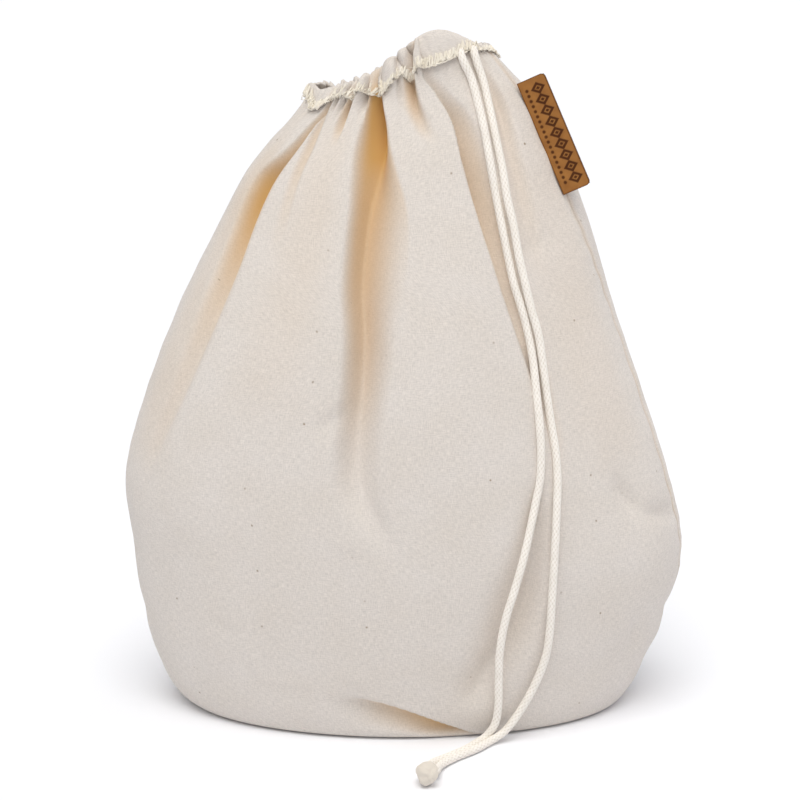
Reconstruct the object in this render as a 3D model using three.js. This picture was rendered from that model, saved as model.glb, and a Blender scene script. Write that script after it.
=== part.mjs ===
// Drawstring nut milk bag of unbleached cotton cloth, standing filled out on a flat surface.
// Millimetres, +Z up, the front faces -Y. The origin is on the surface, under the middle of the bag.
import * as THREE from "three";
import { mergeVertices } from "three/addons/utils/BufferGeometryUtils.js";

// Driving sizes
const CLOTH = 1.5; // thickness of the cloth wall
const SEAM_GAP = 0.36; // between the two panels along their seam, front to back
const FRONT_COLUMNS = 56;
const BACK_COLUMNS = 44;
const ROWS_PER_LEVEL = 2;
const COLUMN_EVENING = 0.18; // draws the columns of a panel to the middle, where the folds are
const CASING = { bulge: 2.6, edge: 0.4, step: 0.5 }; // the turned hem stands this far proud of the cloth below it
const RUFFLE = { height: 1.2, count: 26, wander: 1.35, waves: 7, weak: 0.35, run: 1 }; // gathers round the mouth
const STEEPEST = 2.2; // the wall of a steep fold is measured at most this much thicker along its push
const CORD_DIAMETER = 3;
const CORD_SIDES = 8;
const CORD_STEPS = 40;
const FINISH = {
  front: { color: 0xe9dfd0, roughness: 0.92 },
  back: { color: 0xe6dbcb, roughness: 0.92 },
  cord: { color: 0xe9e1d6, roughness: 0.88 },
  label: { color: 0x8f5f37, roughness: 0.6 },
};
const KNOT = { at: [9.7, -87, 4.9], half: [4.5, 4.7, 4.6], lobes: 3, twist: 2.4, relief: 0.06 };
const KNOT_GRID = { columns: 16, rows: 10 };
const LABEL = { length: 44, width: 10.8, thickness: 1.4, corner: 1.6, curve: 4, from: 1.7, to: 3.6 };
const LABEL_HOLD = { off: 1.6, forward: 1.8, swing: 0.25 }; // clear of the seam, and swung a little to the front

// The filled bag from the rim down to the bottom seam, one row for each level.
// z is the height over the middle, tilt its rise for each millimetre to the right, left to back the reach to
// each side, and turn the degrees by which the right seam is turned to the front and the left seam to the back.
const LEVELS = [
  { z: 250.5, tilt: 0.21, left: 33, right: 32, front: 15, back: 15, turn: 10 },
  { z: 243.5, tilt: 0.23, left: 36.5, right: 36.5, front: 18.5, back: 18, turn: 14 },
  { z: 230.9, tilt: 0.18, left: 47.5, right: 48, front: 24.5, back: 23.5, turn: 20 },
  { z: 214.6, tilt: 0.11, left: 58, right: 58.5, front: 32.5, back: 31, turn: 25 },
  { z: 189, tilt: 0.04, left: 69.6, right: 70.5, front: 41, back: 38.5, turn: 22 },
  { z: 158.4, tilt: 0, left: 83.7, right: 80.8, front: 49, back: 45, turn: 14 },
  { z: 125.8, tilt: 0, left: 96.7, right: 92.4, front: 54, back: 49, turn: 8 },
  { z: 93, tilt: 0, left: 106, right: 103.5, front: 56, back: 51, turn: 6 },
  { z: 66, tilt: 0, left: 103.8, right: 109.3, front: 56, back: 51, turn: 5 },
  { z: 41.3, tilt: 0, left: 101.2, right: 106, front: 54, back: 50, turn: 4 },
  { z: 21, tilt: 0, left: 96.2, right: 98.4, front: 51, back: 48, turn: 3 },
  { z: 6.7, tilt: 0, left: 91, right: 92.8, front: 48, back: 45, turn: 1.5 },
  { z: 0, tilt: 0, left: 87, right: 88, front: 44.5, back: 41, turn: 0 },
  { z: 0, tilt: 0, left: 80, right: 81, front: 19, back: 22, turn: 0 },
  { z: 0, tilt: 0, left: 73, right: 74.5, front: -6, back: 6, turn: 0 },
];
const LAST_LEVEL = LEVELS.length - 1;
const STITCH_LEVEL = 1; // lower edge of the casing
const FLOOR_LEVEL = 12; // from here on the cloth lies flat on the surface
const CROWN = { height: 10.5, x: 11.5, half: 22, fade: 1.6 }; // the rim rises in a peak right of the middle
const SAG = { depth: 5, fade: 3 }; // the back of the rim hangs lower than its front

// Main folds by hand, one row for each. A bearing is in degrees round the bag: 0 is the left side, 90 the front,
// 180 the right side. at lists three levels, edge the bearing of the crisp edge there, reach the degrees from that
// edge to the soft side of the trough (negative to the left), and depth the depth of the trough.
const FOLDS = [
  { name: "left_crease", at: [0.8, 4, 7.2], edge: [56, 48, 29], reach: [-10, -26, -14], depth: [5, 7, 0] },
  { name: "left_dart", at: [0.6, 1.3, 2.5], edge: [66, 66, 64], reach: [-8, -8, -7], depth: [4, 4, 0] },
  { name: "main_trough", at: [1, 3.4, 6.8], edge: [79, 88, 90.5], reach: [-9, -15, -8], depth: [7, 10, 0] },
  { name: "short_dart", at: [0.6, 1.4, 2.6], edge: [93, 98, 103], reach: [-9, -9, -8], depth: [4, 4.5, 0] },
  { name: "broad_fold", at: [1.2, 4.2, 6.6], edge: [109, 119, 122], reach: [9, 17, 10], depth: [3, 4.5, 0] },
  { name: "back_right", at: [0.8, 3, 5.6], edge: [208, 212, 214], reach: [15, 17, 13], depth: [5, 7, 0] },
  { name: "back_mid_right", at: [0.8, 2.4, 4.6], edge: [244, 242, 240], reach: [-13, -15, -11], depth: [5, 6, 0] },
  { name: "back_middle", at: [0.8, 3.2, 6.2], edge: [268, 270, 271], reach: [14, 17, 12], depth: [6, 8, 0] },
  { name: "back_mid_left", at: [0.8, 2.2, 4.2], edge: [297, 299, 301], reach: [13, 14, 11], depth: [5, 6, 0] },
  { name: "back_left", at: [0.8, 3, 5.4], edge: [328, 327, 326], reach: [-14, -16, -12], depth: [5, 6, 0] },
];
const TROUGH_AT = 0.36; // share of the reach at which a trough is deepest
const RIM_SHARE = 0.6; // share of a fold's depth that is left at the rim

// Bearings between which the casing is gathered tight, with the degrees over which that fades.
const GATHERED = [
  { name: "front", from: 42, to: 122, blend: 8 },
  { name: "back", from: 190, to: 340, blend: 10 },
];

// The tuck at the foot of the front: its lip comes down from left to right until it meets the surface.
const TUCK = { left: 74, right: 106, lip: 10, drop: 1.2, bow: 1.8, depth: 4, deepest: 0.4, run: 1.3, blend: 14 };

// The two free cord ends by hand, from the casing down the front and over the surface to the knot.
const LEFT_CORD = [
  [22.6, -19.8, 252.4], [24.2, -20, 250.2], [25.9, -20.3, 246.8], [26.9, -21, 242.6], [28.1, -22.6, 237.4],
  [30.4, -25.6, 228], [32.4, -28.4, 217.2], [34.7, -31.2, 204.6], [36.9, -34.8, 193.4], [39, -36.6, 183.4],
  [41.3, -38.2, 173.4], [43.8, -39.2, 165.6], [45.7, -40, 158.6], [47.9, -42, 148.2], [49.4, -45, 135.4],
  [50.8, -47.8, 121.8], [51.3, -49.4, 110.5], [50.8, -50.6, 102.4], [49.6, -51.6, 95.6], [47.8, -52.9, 85],
  [45.9, -53.8, 74], [43, -54.4, 62.4], [40, -54.2, 50.6], [38.3, -53.1, 38], [37.7, -51.3, 25.6],
  [37.4, -49.9, 15.5], [35.9, -48.9, 7.2], [32.4, -49.4, 2.7], [28.4, -53.6, 1.8], [24.6, -59, 1.8],
  [15.4, -68, 1.8], [11.7, -73.1, 2.4], [9.9, -79, 3.2], [9.6, -81.9, 3.8],
];
const RIGHT_CORD = [
  [26.4, -17, 254.6], [27.6, -17.7, 251.8], [29.8, -19, 245.6], [32.2, -22.2, 236], [34.8, -25.7, 224.4],
  [36.9, -28.3, 214.6], [38.7, -30.6, 204], [40.9, -32.4, 194.8], [42.8, -34.6, 184.2], [45, -36.6, 175],
  [47.3, -38.5, 165.8], [50, -40.2, 156.2], [51.4, -42, 148], [53.1, -44.4, 135.2], [55.2, -46.4, 122.2],
  [56.9, -47.4, 113], [57.8, -48.6, 102.8], [57.9, -49.5, 93.6], [57.7, -50.3, 84.2], [57.4, -51, 73],
  [56.9, -50.8, 57.4], [56.1, -49.8, 45], [54.8, -48.8, 34.8], [52.2, -47.8, 26], [48.6, -47.3, 17.6],
  [44.2, -47.6, 9.6], [40, -49, 4.4], [36.2, -51.6, 2], [29.8, -59, 1.8], [21.8, -67.2, 1.8],
  [16.6, -72.6, 1.9], [14.3, -76.9, 2.3], [13.5, -80.5, 3.2], [13.1, -82.9, 3.7],
];

/** Smooth step from 0 to 1 between two values. */
const ease = (value, from, to) => THREE.MathUtils.smoothstep(value, from, to);

/** Value of a column of the level table, on a Catmull-Rom curve through its rows. */
function levelAt(column, station) {
  const row = Math.min(Math.floor(station), LAST_LEVEL - 1);
  const part = station - row;
  const at = (index) => LEVELS[THREE.MathUtils.clamp(index, 0, LAST_LEVEL)][column];
  const [a, b, c, d] = [at(row - 1), at(row), at(row + 1), at(row + 2)];
  const cubic = 2 * a - 5 * b + 4 * c - d + part * (3 * (b - c) + d - a);
  return b + 0.5 * part * (c - a + part * cubic);
}

/** Point of the bag without its folds. */
function filledBag(bearing, station) {
  const angle = THREE.MathUtils.degToRad(bearing);
  const [left, right] = [levelAt("left", station), levelAt("right", station)];
  const [front, back] = [levelAt("front", station), levelAt("back", station)];
  const x = (right - left) / 2 - ((right + left) / 2) * Math.cos(angle);
  const y = (back - front) / 2 - ((back + front) / 2) * Math.sin(angle);
  const aside = THREE.MathUtils.clamp((x - CROWN.x) / CROWN.half, -1, 1);
  const share = THREE.MathUtils.clamp(1 - station / CROWN.fade, 0, 1);
  const peak = CROWN.height * share * 0.5 * (1 + Math.cos(Math.PI * aside));
  const behind = (1 - Math.sin(angle)) / 2;
  const sag = SAG.depth * behind * THREE.MathUtils.clamp(1 - station / SAG.fade, 0, 1);
  const z = levelAt("z", station) + levelAt("tilt", station) * x + peak - sag;
  return new THREE.Vector3(x, y, Math.max(z, 0));
}

/** Outward direction of the bag without its folds. */
function outwards(bearing, station) {
  if (station >= FLOOR_LEVEL) return new THREE.Vector3(0, 0, -1);
  const [turn, step] = [0.5, 0.02];
  const above = filledBag(bearing, Math.max(station - step, 0));
  const down = filledBag(bearing, station + step).sub(above);
  const round = filledBag(bearing + turn, station).sub(filledBag(bearing - turn, station));
  return down.cross(round).normalize();
}

/** Value at a station of three numbers that belong to three stations. */
function along(stations, values, station) {
  const first = values[0] + (values[1] - values[0]) * ease(station, stations[0], stations[1]);
  return first + (values[2] - values[1]) * ease(station, stations[1], stations[2]);
}

/** How far one fold pushes the cloth in. */
function foldDepth(fold, bearing, station) {
  const reach = along(fold.at, fold.reach, station);
  const across = (bearing - along(fold.at, fold.edge, station)) / reach;
  if (across <= 0 || across >= 1) return 0;
  const shape = Math.min(ease(across, 0, TROUGH_AT), 1 - ease(across, TROUGH_AT, 1));
  const rim = RIM_SHARE + (1 - RIM_SHARE) * ease(station, 0, fold.at[0]);
  return along(fold.at, fold.depth, station) * rim * shape;
}

/** How far the tuck at the foot of the front pushes the cloth in. */
function tuckDepth(bearing, station) {
  const across = THREE.MathUtils.clamp((bearing - TUCK.left) / (TUCK.right - TUCK.left), 0, 1);
  const below = station - TUCK.lip - TUCK.drop * across ** TUCK.bow;
  const shape = Math.min(ease(below, 0, TUCK.deepest), 1 - ease(below, TUCK.deepest, TUCK.run));
  const fadeLeft = ease(bearing, TUCK.left - TUCK.blend, TUCK.left);
  const fadeRight = 1 - ease(bearing, TUCK.right - TUCK.blend, TUCK.right);
  const fadeDown = 1 - ease(station, FLOOR_LEVEL - 1, FLOOR_LEVEL);
  return TUCK.depth * shape * fadeLeft * fadeRight * fadeDown;
}

/** Extra thickness of the cloth where it is turned over as the casing. */
function hemDepth(station) {
  const rounded = ease(station, -CASING.edge, CASING.edge);
  return CASING.bulge * rounded * (1 - ease(station, STITCH_LEVEL, STITCH_LEVEL + CASING.step));
}

/** How far the casing and its gathers stand out. */
function casingHeight(bearing, station) {
  const tight = ({ from, to, blend }) => ease(bearing, from, from + blend) * (1 - ease(bearing, to - blend, to));
  const gathers = THREE.MathUtils.lerp(RUFFLE.weak, 1, Math.max(...GATHERED.map(tight)));
  const angle = THREE.MathUtils.degToRad(bearing);
  const wave = Math.cos(RUFFLE.count * angle + RUFFLE.wander * Math.sin(RUFFLE.waves * angle));
  const fade = 1 - ease(station, STITCH_LEVEL, STITCH_LEVEL + RUFFLE.run);
  return hemDepth(station) + RUFFLE.height * gathers * wave * fade;
}

/** How far the folded cloth lies outside the bag without its folds. */
function relief(bearing, station) {
  const folds = FOLDS.reduce((sum, fold) => sum + foldDepth(fold, bearing, station), 0);
  return casingHeight(bearing, station) - folds - tuckDepth(bearing, station);
}

/** Thickness of the wall along its push, so that the wall of a steep fold isn't thinned. */
function wallAlong(bearing, station) {
  const turn = 1;
  const rise = relief(bearing + turn, station) - relief(bearing - turn, station);
  const run = filledBag(bearing + turn, station).distanceTo(filledBag(bearing - turn, station));
  return CLOTH * Math.min(Math.hypot(1, rise / Math.max(run, CLOTH)), STEEPEST);
}

/** Point of the cloth: depth 0 is its outer face and 1 its inner face. */
function clothPoint(bearing, station, depth) {
  if (station >= FLOOR_LEVEL) return filledBag(bearing, station).setZ(depth * CLOTH);
  const push = relief(bearing, station) - depth * (wallAlong(bearing, station) + hemDepth(station));
  return filledBag(bearing, station).addScaledVector(outwards(bearing, station), push);
}

/** Bearing of a column: columns are about evenly spaced on the cloth where the bag is widest. */
function columnBearing(share) {
  const evened = share + (COLUMN_EVENING / Math.PI) * Math.sin(2 * Math.PI * share);
  return 180 * evened;
}

/** A cloth panel from one seam to the other, as one closed solid. */
function panel(name, side, columns, finish) {
  const rows = ROWS_PER_LEVEL * LAST_LEVEL;
  const sheet = new THREE.BoxGeometry(1, 1, 1, columns, rows, 1);
  sheet.deleteAttribute("normal");
  sheet.deleteAttribute("uv");
  const geometry = mergeVertices(sheet);
  const place = geometry.attributes.position;
  for (let i = 0; i < place.count; i += 1) {
    const station = (0.5 - place.getY(i)) * LAST_LEVEL;
    const start = side < 0 ? 0 : 180;
    const bearing = start + columnBearing(place.getX(i) + 0.5) - levelAt("turn", station);
    const point = clothPoint(bearing, station, 0.5 - place.getZ(i));
    place.setXYZ(i, point.x, point.y + (side * SEAM_GAP) / 2, point.z);
  }
  geometry.computeVertexNormals();
  return named(name, geometry, finish);
}

/** A node of the bag with its own material. */
function named(name, geometry, finish) {
  const mesh = new THREE.Mesh(geometry, new THREE.MeshStandardMaterial({ ...finish, metalness: 0 }));
  mesh.name = name;
  return mesh;
}

/** A free cord end, as a tube along its points. */
function cord(name, points) {
  const corners = Array.from({ length: CORD_SIDES }, (_, i) => (2 * Math.PI * i) / CORD_SIDES);
  const ring = corners.map((a) => new THREE.Vector2(Math.cos(a), Math.sin(a)).multiplyScalar(CORD_DIAMETER / 2));
  const route = new THREE.CatmullRomCurve3(points.map((point) => new THREE.Vector3(...point)), false, "centripetal");
  const tube = new THREE.ExtrudeGeometry(new THREE.Shape(ring), { steps: CORD_STEPS, extrudePath: route });
  return named(name, tube, FINISH.cord);
}

/** The knot that ties the cord ends together, a ball with the wound strands as lobes. */
function knot(name) {
  const geometry = new THREE.SphereGeometry(1, KNOT_GRID.columns, KNOT_GRID.rows);
  const place = geometry.attributes.position;
  for (let i = 0; i < place.count; i += 1) {
    const point = new THREE.Vector3().fromBufferAttribute(place, i);
    const around = Math.atan2(point.z, point.x);
    const ring = Math.hypot(point.x, point.z);
    const swell = 1 + KNOT.relief * ring * (Math.cos(KNOT.lobes * around + KNOT.twist * point.y) - 1);
    point.multiplyScalar(swell).multiply(new THREE.Vector3(...KNOT.half)).add(new THREE.Vector3(...KNOT.at));
    place.setXYZ(i, point.x, point.y, point.z);
  }
  return named(name, geometry, FINISH.cord);
}

/** The label plate, held by its inner edge along the right seam. */
function label(name) {
  const { length, width, thickness, corner, curve } = LABEL;
  const outline = new THREE.Shape();
  outline.moveTo(0, -length / 2);
  outline.lineTo(width - corner, -length / 2);
  outline.absarc(width - corner, corner - length / 2, corner, -Math.PI / 2, 0);
  outline.absarc(width - corner, length / 2 - corner, corner, 0, Math.PI / 2);
  outline.lineTo(0, length / 2);
  const plate = new THREE.ExtrudeGeometry(outline, { depth: thickness, bevelEnabled: false, curveSegments: curve });
  const seam = (station) => filledBag(180 - levelAt("turn", station), station);
  const [top, foot] = [seam(LABEL.from), seam(LABEL.to)];
  const up = top.clone().sub(foot).normalize();
  const aside = new THREE.Vector3(1, -LABEL_HOLD.swing, 0);
  const out = aside.addScaledVector(up, -aside.dot(up)).normalize();
  const facing = out.clone().cross(up);
  const middle = top.clone().add(foot).multiplyScalar(0.5).addScaledVector(out, LABEL_HOLD.off);
  middle.addScaledVector(facing, LABEL_HOLD.forward);
  plate.translate(0, 0, -thickness / 2);
  plate.applyMatrix4(new THREE.Matrix4().makeBasis(out, up, facing).setPosition(middle));
  return named(name, plate, FINISH.label);
}

const bag = new THREE.Group();
bag.name = "nut_milk_bag";
bag.add(panel("front_panel", -1, FRONT_COLUMNS, FINISH.front));
bag.add(panel("back_panel", 1, BACK_COLUMNS, FINISH.back));
bag.add(cord("drawstring_left", LEFT_CORD));
bag.add(cord("drawstring_right", RIGHT_CORD));
bag.add(knot("drawstring_knot"));
bag.add(label("side_label"));

export default bag;
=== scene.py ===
"""Drawstring nut milk bag of unbleached cotton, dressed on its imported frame.

The bag stands filled out on a flat surface, with its mouth gathered and its two cord ends hanging down
the front to a knot. Table sizes are in millimetres, as on the maker's sheet, and meshes are in metres.
A place on the bag has a bearing, in degrees from its left side round the front, and a station, which
counts the levels from the rim down.
"""
import logging
import math
from dataclasses import dataclass, field
from enum import Enum
from typing import Any, NamedTuple, Sequence

import bpy
import numpy as np
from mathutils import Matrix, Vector


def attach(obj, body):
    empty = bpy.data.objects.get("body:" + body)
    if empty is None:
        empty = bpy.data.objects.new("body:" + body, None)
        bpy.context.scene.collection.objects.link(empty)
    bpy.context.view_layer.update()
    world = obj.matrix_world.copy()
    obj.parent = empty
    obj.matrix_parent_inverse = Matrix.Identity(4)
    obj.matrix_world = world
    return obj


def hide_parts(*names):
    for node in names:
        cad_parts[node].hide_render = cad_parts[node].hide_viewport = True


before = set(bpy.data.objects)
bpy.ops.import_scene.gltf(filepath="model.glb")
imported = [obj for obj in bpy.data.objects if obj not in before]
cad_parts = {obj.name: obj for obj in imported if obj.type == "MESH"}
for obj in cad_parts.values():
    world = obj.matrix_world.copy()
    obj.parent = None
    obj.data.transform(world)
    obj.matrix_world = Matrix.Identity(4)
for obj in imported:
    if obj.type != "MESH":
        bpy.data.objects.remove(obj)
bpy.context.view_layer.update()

BODY = "root"
MM = 0.001
BAG_MIDDLE = (0.0, 0.0, 0.1)  # in metres

Array = np.ndarray
Three = tuple[float, float, float]
Row = tuple[float, ...]

log = logging.getLogger("nut_milk_bag")


class Slot(Enum):
    """Material slots of the record."""

    CLOTH = "cotton_cloth"
    CORD = "cotton_cord"
    LABEL = "label_leather"


class Side(Enum):
    """The two cloth panels, by the bearing at which each starts and the way it lies from the seam."""

    FRONT = (0.0, -1.0)
    BACK = (180.0, 1.0)

    @property
    def start(self) -> float:
        """Bearing of the panel's first edge, in degrees."""
        return self.value[0]

    @property
    def way(self) -> float:
        """Which side of the seam the panel lies on, along Y."""
        return self.value[1]


class Level(NamedTuple):
    """One level of the filled bag.

    Attributes:
        z: Height of its middle.
        tilt: How much it rises to the right.
        left: Reach to the left.
        right: Reach to the right.
        front: Reach to the front.
        back: Reach to the back.
        turn: Degrees that the side seams lie turned.
    """

    z: float
    tilt: float
    left: float
    right: float
    front: float
    back: float
    turn: float


LEVELS = (
    Level(250.5, 0.21, 33.0, 32.0, 15.0, 15.0, 10.0),
    Level(243.5, 0.23, 36.5, 36.5, 18.5, 18.0, 14.0),
    Level(230.9, 0.18, 47.5, 48.0, 24.5, 23.5, 20.0),
    Level(214.6, 0.11, 58.0, 58.5, 32.5, 31.0, 25.0),
    Level(189.0, 0.04, 69.6, 70.5, 41.0, 38.5, 20.0),
    Level(158.4, 0.0, 83.7, 80.8, 49.0, 45.0, 9.5),
    Level(125.8, 0.0, 96.7, 92.4, 54.0, 49.0, 9.5),
    Level(93.0, 0.0, 105.6, 103.5, 56.0, 51.0, 9.5),
    Level(66.0, 0.0, 103.6, 109.3, 56.0, 51.0, 7.5),
    Level(41.3, 0.0, 101.0, 106.0, 54.0, 50.0, 7.0),
    Level(21.0, 0.0, 96.0, 98.0, 51.0, 48.0, 4.0),
    Level(6.7, 0.0, 89.4, 91.4, 48.6, 45.0, 1.5),
    Level(0.0, 0.0, 81.5, 85.0, 43.8, 40.0, 0.0),
    Level(0.0, 0.0, 77.0, 79.0, 22.5, 19.5, 0.0),
    Level(0.0, 0.0, 72.0, 73.5, 1.5, -1.5, 0.0),
)
COLUMNS = {name: np.array([getattr(row, name) for row in LEVELS]) for name in Level._fields}
LAST_LEVEL = len(LEVELS) - 1
FLOOR_LEVEL = 12.0


@dataclass(frozen=True)
class Fold:
    """One fold of the cloth, by what it is at some stations. A single number holds all the way down.

    Attributes:
        name: What the fold is.
        at: Stations down the bag.
        edge: Bearing of the crisp edge at each station.
        reach: Degrees from the edge to the soft side of the trough, negative to the left.
        depth: Depth of the trough.
        lean: How far the crisp edge hangs over the trough.
        trough: Share of the reach at which the trough is deepest.
        keen: How sharp the bottom of the trough is, from 0 for round to 1.
        painted_shade_strength: Strength of the painted shade, warmer and darker than the cloth, between the
            fold's walls.
    """

    name: str
    at: Row
    edge: Row | float
    reach: Row | float
    depth: Row
    lean: Row | float = 0.0
    trough: Row | float = 0.3
    keen: Row | float = 0.0
    # Strength of the painted shade between the fold's walls.
    painted_shade_strength: Row | float = 0.4


FOLDS = (
    Fold(
        "left_crease",
        (0.9, 1.8, 2.4, 2.9, 3.3, 3.8, 4.4, 5.2, 5.8, 6.4, 7.2),
        (50.0, 47.0, 45.0, 43.0, 41.5, 40.4, 40.6, 39.2, 36.4, 32.0, 28.0),
        (-7.0, -8.5, -14.0, -23.0, -22.5, -20.0, -18.0, -15.0, -12.0, -10.0, -8.0),
        (2.5, 3.2, 5.2, 8.4, 9.6, 9.0, 7.2, 4.2, 2.8, 1.5, 0.0),
        (1.5, 2.0, 2.6, 3.2, 3.6, 3.4, 2.8, 1.8, 1.0, 0.5, 0.0),
        (0.3, 0.32, 0.4, 0.54, 0.58, 0.56, 0.5, 0.46, 0.45, 0.45, 0.45),
        0.6,
        (1.8, 1.7, 1.3, 1.0, 0.9, 0.8, 0.62, 0.42, 0.32, 0.15, 0.0),
    ),
    # left_breadth, right_breadth and left_side are very shallow: they mostly lay painted shade over broad
    # stretches of the cloth.
    Fold(
        "left_breadth", (1.4, 2.2, 3.2, 4.2, 5.4, 6.2), 43.0, 30.0,
        (0.2, 0.5, 0.6, 0.6, 0.4, 0.0), 0.0, 0.5, 0.0, 1.6,
    ),
    Fold(
        "right_breadth", (2.4, 3.4, 4.4, 5.4, 6.2, 7.0), 122.0, 42.0,
        (0.2, 0.4, 0.5, 0.5, 0.4, 0.0), 0.0, 0.5, 0.0, 1.8,
    ),
    Fold(
        "left_side", (1.6, 2.6, 3.2, 4.2, 5.4, 6.4, 7.2), 2.0, 34.0,
        (0.2, 0.6, 0.8, 0.7, 0.6, 0.5, 0.0), 0.0, 0.5, 0.0, (3.0, 3.6, 3.6, 2.0, 2.2, 2.2, 0.0),
    ),
    Fold(
        "right_hollow", (0.9, 1.5, 2.0, 2.6, 3.4, 5.0), (151.0, 147.0, 145.0, 142.0, 139.5, 138.0),
        (-12.0, -13.0, -13.0, -13.0, -13.0, -12.0), (0.6, 2.4, 3.6, 3.6, 2.6, 0.0), 0.0, 0.45, 0.0, 0.45,
    ),
    Fold(
        "left_second", (1.2, 1.9, 2.6, 3.2, 4.2), (50.5, 52.0, 53.0, 53.0, 53.0),
        (-4.0, -5.0, -6.0, -6.0, -6.0), (1.2, 1.8, 1.6, 1.0, 0.0), 0.3, 0.4, 0.0, 1.8,
    ),
    Fold(
        "left_dart", (0.6, 1.3, 1.8, 2.4), (65.5, 65.0, 64.5, 63.5), (-8.0, -8.0, -7.0, -5.0),
        (3.4, 3.6, 2.4, 0.0), (1.4, 1.4, 1.0, 0.0), 0.36, 0.5, 1.5,
    ),
    Fold(
        "main_trough",
        (0.8, 1.4, 1.95, 2.65, 3.1, 3.45, 3.9, 4.5, 5.0, 5.6, 6.15, 6.6, 6.9, 7.2, 7.8),
        (80.6, 83.6, 86.4, 88.9, 91.2, 93.0, 93.4, 92.2, 91.2, 90.0, 88.6, 87.9, 88.0, 89.6, 92.0),
        (
            -9.5, -12.0, -15.4, -18.6, -20.0, -21.0, -21.1, -18.6, -15.2, -13.2, -12.0, -11.6, -11.0, -10.0,
            -9.0,
        ),
        (5.2, 8.2, 9.8, 10.4, 10.8, 11.2, 11.8, 12.2, 12.4, 11.6, 9.2, 6.8, 4.6, 2.2, 0.0),
        (3.4, 4.0, 4.0, 3.8, 3.2, 2.4, 1.2, 0.4, 0.0, 0.0, 0.0, 0.0, 0.0, 0.0, 0.0),
        (0.3, 0.32, 0.36, 0.46, 0.58, 0.69, 0.73, 0.71, 0.65, 0.6, 0.56, 0.5, 0.42, 0.42, 0.5),
        (0.0, 0.0, 0.1, 0.2, 0.3, 0.4, 0.4, 0.35, 0.3, 0.25, 0.15, 0.1, 0.1, 0.0, 0.0),
        (2.6, 2.15, 1.55, 1.12, 0.88, 0.78, 0.66, 0.55, 0.44, 0.29, 0.13, 0.05, 0.0, 0.0, 0.0),
    ),
    Fold(
        "short_dart", (0.1, 0.6, 1.2, 1.7, 2.2, 2.7), (102.0, 100.4, 99.4, 101.0, 103.4, 106.0),
        (-8.0, -9.0, -9.0, -9.0, -8.0, -7.0), (3.4, 4.4, 5.2, 4.0, 2.0, 0.0),
        (1.6, 1.6, 1.6, 1.0, 0.3, 0.0), (0.3, 0.3, 0.32, 0.4, 0.48, 0.5), 0.5, 1.2,
    ),
    Fold(
        "broad_fold",
        (1.1, 1.5, 2.1, 3.0, 3.45, 3.9, 4.4, 5.0, 5.6, 6.8),
        (102.5, 106.4, 109.8, 110.6, 111.6, 113.4, 116.4, 120.4, 123.0, 125.0),
        (8.0, 9.0, 12.0, 14.0, 14.0, 13.5, 11.0, 8.0, 7.0, 6.0),
        (1.6, 2.8, 5.6, 7.8, 8.0, 7.0, 5.6, 4.2, 2.6, 0.0),
        (0.8, 1.6, 2.4, 3.0, 3.0, 2.6, 2.0, 1.2, 0.6, 0.0),
        (0.18, 0.18, 0.2, 0.22, 0.24, 0.26, 0.3, 0.34, 0.36, 0.36),
        0.5,
        0.5,
    ),
    Fold(
        "cord_hollow",
        (6.5, 7.15, 7.73, 8.35, 9.0, 9.85, 10.6),
        (123.0, 122.3, 120.6, 119.6, 119.3, 117.8, 116.0),
        (-8.0, -9.5, -12.5, -16.5, -17.5, -17.5, -16.0),
        (0.0, 3.0, 5.6, 8.0, 8.0, 4.8, 0.0),
        0.0,
        (0.3, 0.3, 0.28, 0.28, 0.4, 0.6, 0.6),
        0.9,
        0.1,
    ),
    Fold(
        "gather_left", (0.8, 1.3, 1.7, 2.1), (73.5, 73.5, 73.5, 74.0), (-5.0, -5.0, -5.0, -4.0),
        (2.6, 2.2, 1.0, 0.0), (0.7, 0.7, 0.3, 0.0), 0.38,
    ),
    Fold(
        "gather_right", (0.8, 1.3, 1.6, 2.0), (87.0, 88.5, 90.0, 92.0), (4.5, 5.0, 5.0, 4.0),
        (2.4, 2.0, 1.0, 0.0), (0.6, 0.6, 0.2, 0.0), 0.38,
    ),
    Fold(
        "back_right", (0.8, 1.9, 3.0, 4.4, 5.6), (208.0, 210.0, 212.0, 213.0, 214.0),
        (15.0, 16.0, 17.0, 15.0, 13.0), (5.0, 6.4, 7.0, 4.0, 0.0), (2.6, 3.0, 3.0, 1.4, 0.0), 0.3,
    ),
    Fold(
        "back_mid_right", (0.8, 1.6, 2.4, 3.5, 4.6), (244.0, 243.0, 242.0, 241.0, 240.0),
        (-13.0, -14.0, -15.0, -13.0, -11.0), (5.0, 5.6, 6.0, 3.4, 0.0), (2.2, 2.6, 2.4, 1.0, 0.0), 0.3,
    ),
    Fold(
        "back_middle", (0.8, 2.0, 3.2, 4.7, 6.2), (268.0, 269.0, 270.0, 270.5, 271.0),
        (14.0, 15.5, 17.0, 15.0, 12.0), (6.0, 7.4, 8.0, 4.6, 0.0), (3.0, 3.6, 3.6, 1.6, 0.0), 0.32, 0.4,
    ),
    Fold(
        "back_mid_left", (0.8, 1.5, 2.2, 3.2, 4.2), (297.0, 298.0, 299.0, 300.0, 301.0),
        (13.0, 13.5, 14.0, 13.0, 11.0), (5.0, 5.6, 6.0, 3.2, 0.0), (2.2, 2.6, 2.4, 1.0, 0.0), 0.3,
    ),
    Fold(
        "back_left", (0.8, 1.9, 3.0, 4.2, 5.4), (321.0, 320.5, 320.0, 319.5, 319.0),
        (-14.0, -15.0, -16.0, -14.0, -12.0), (5.0, 5.8, 6.0, 3.4, 0.0), (2.2, 2.6, 2.4, 1.0, 0.0), 0.3,
    ),
)
RIM_SHARE = 0.6  # share of a fold's depth that it has at the rim
KEEN_POWER = 1.6  # curve of the walls of a sharp trough
LEAN_RUN = (-0.8, -0.1, 0.4, 1.0)  # shares of the reach where an overhang sets in, is full, ebbs, ends


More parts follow.
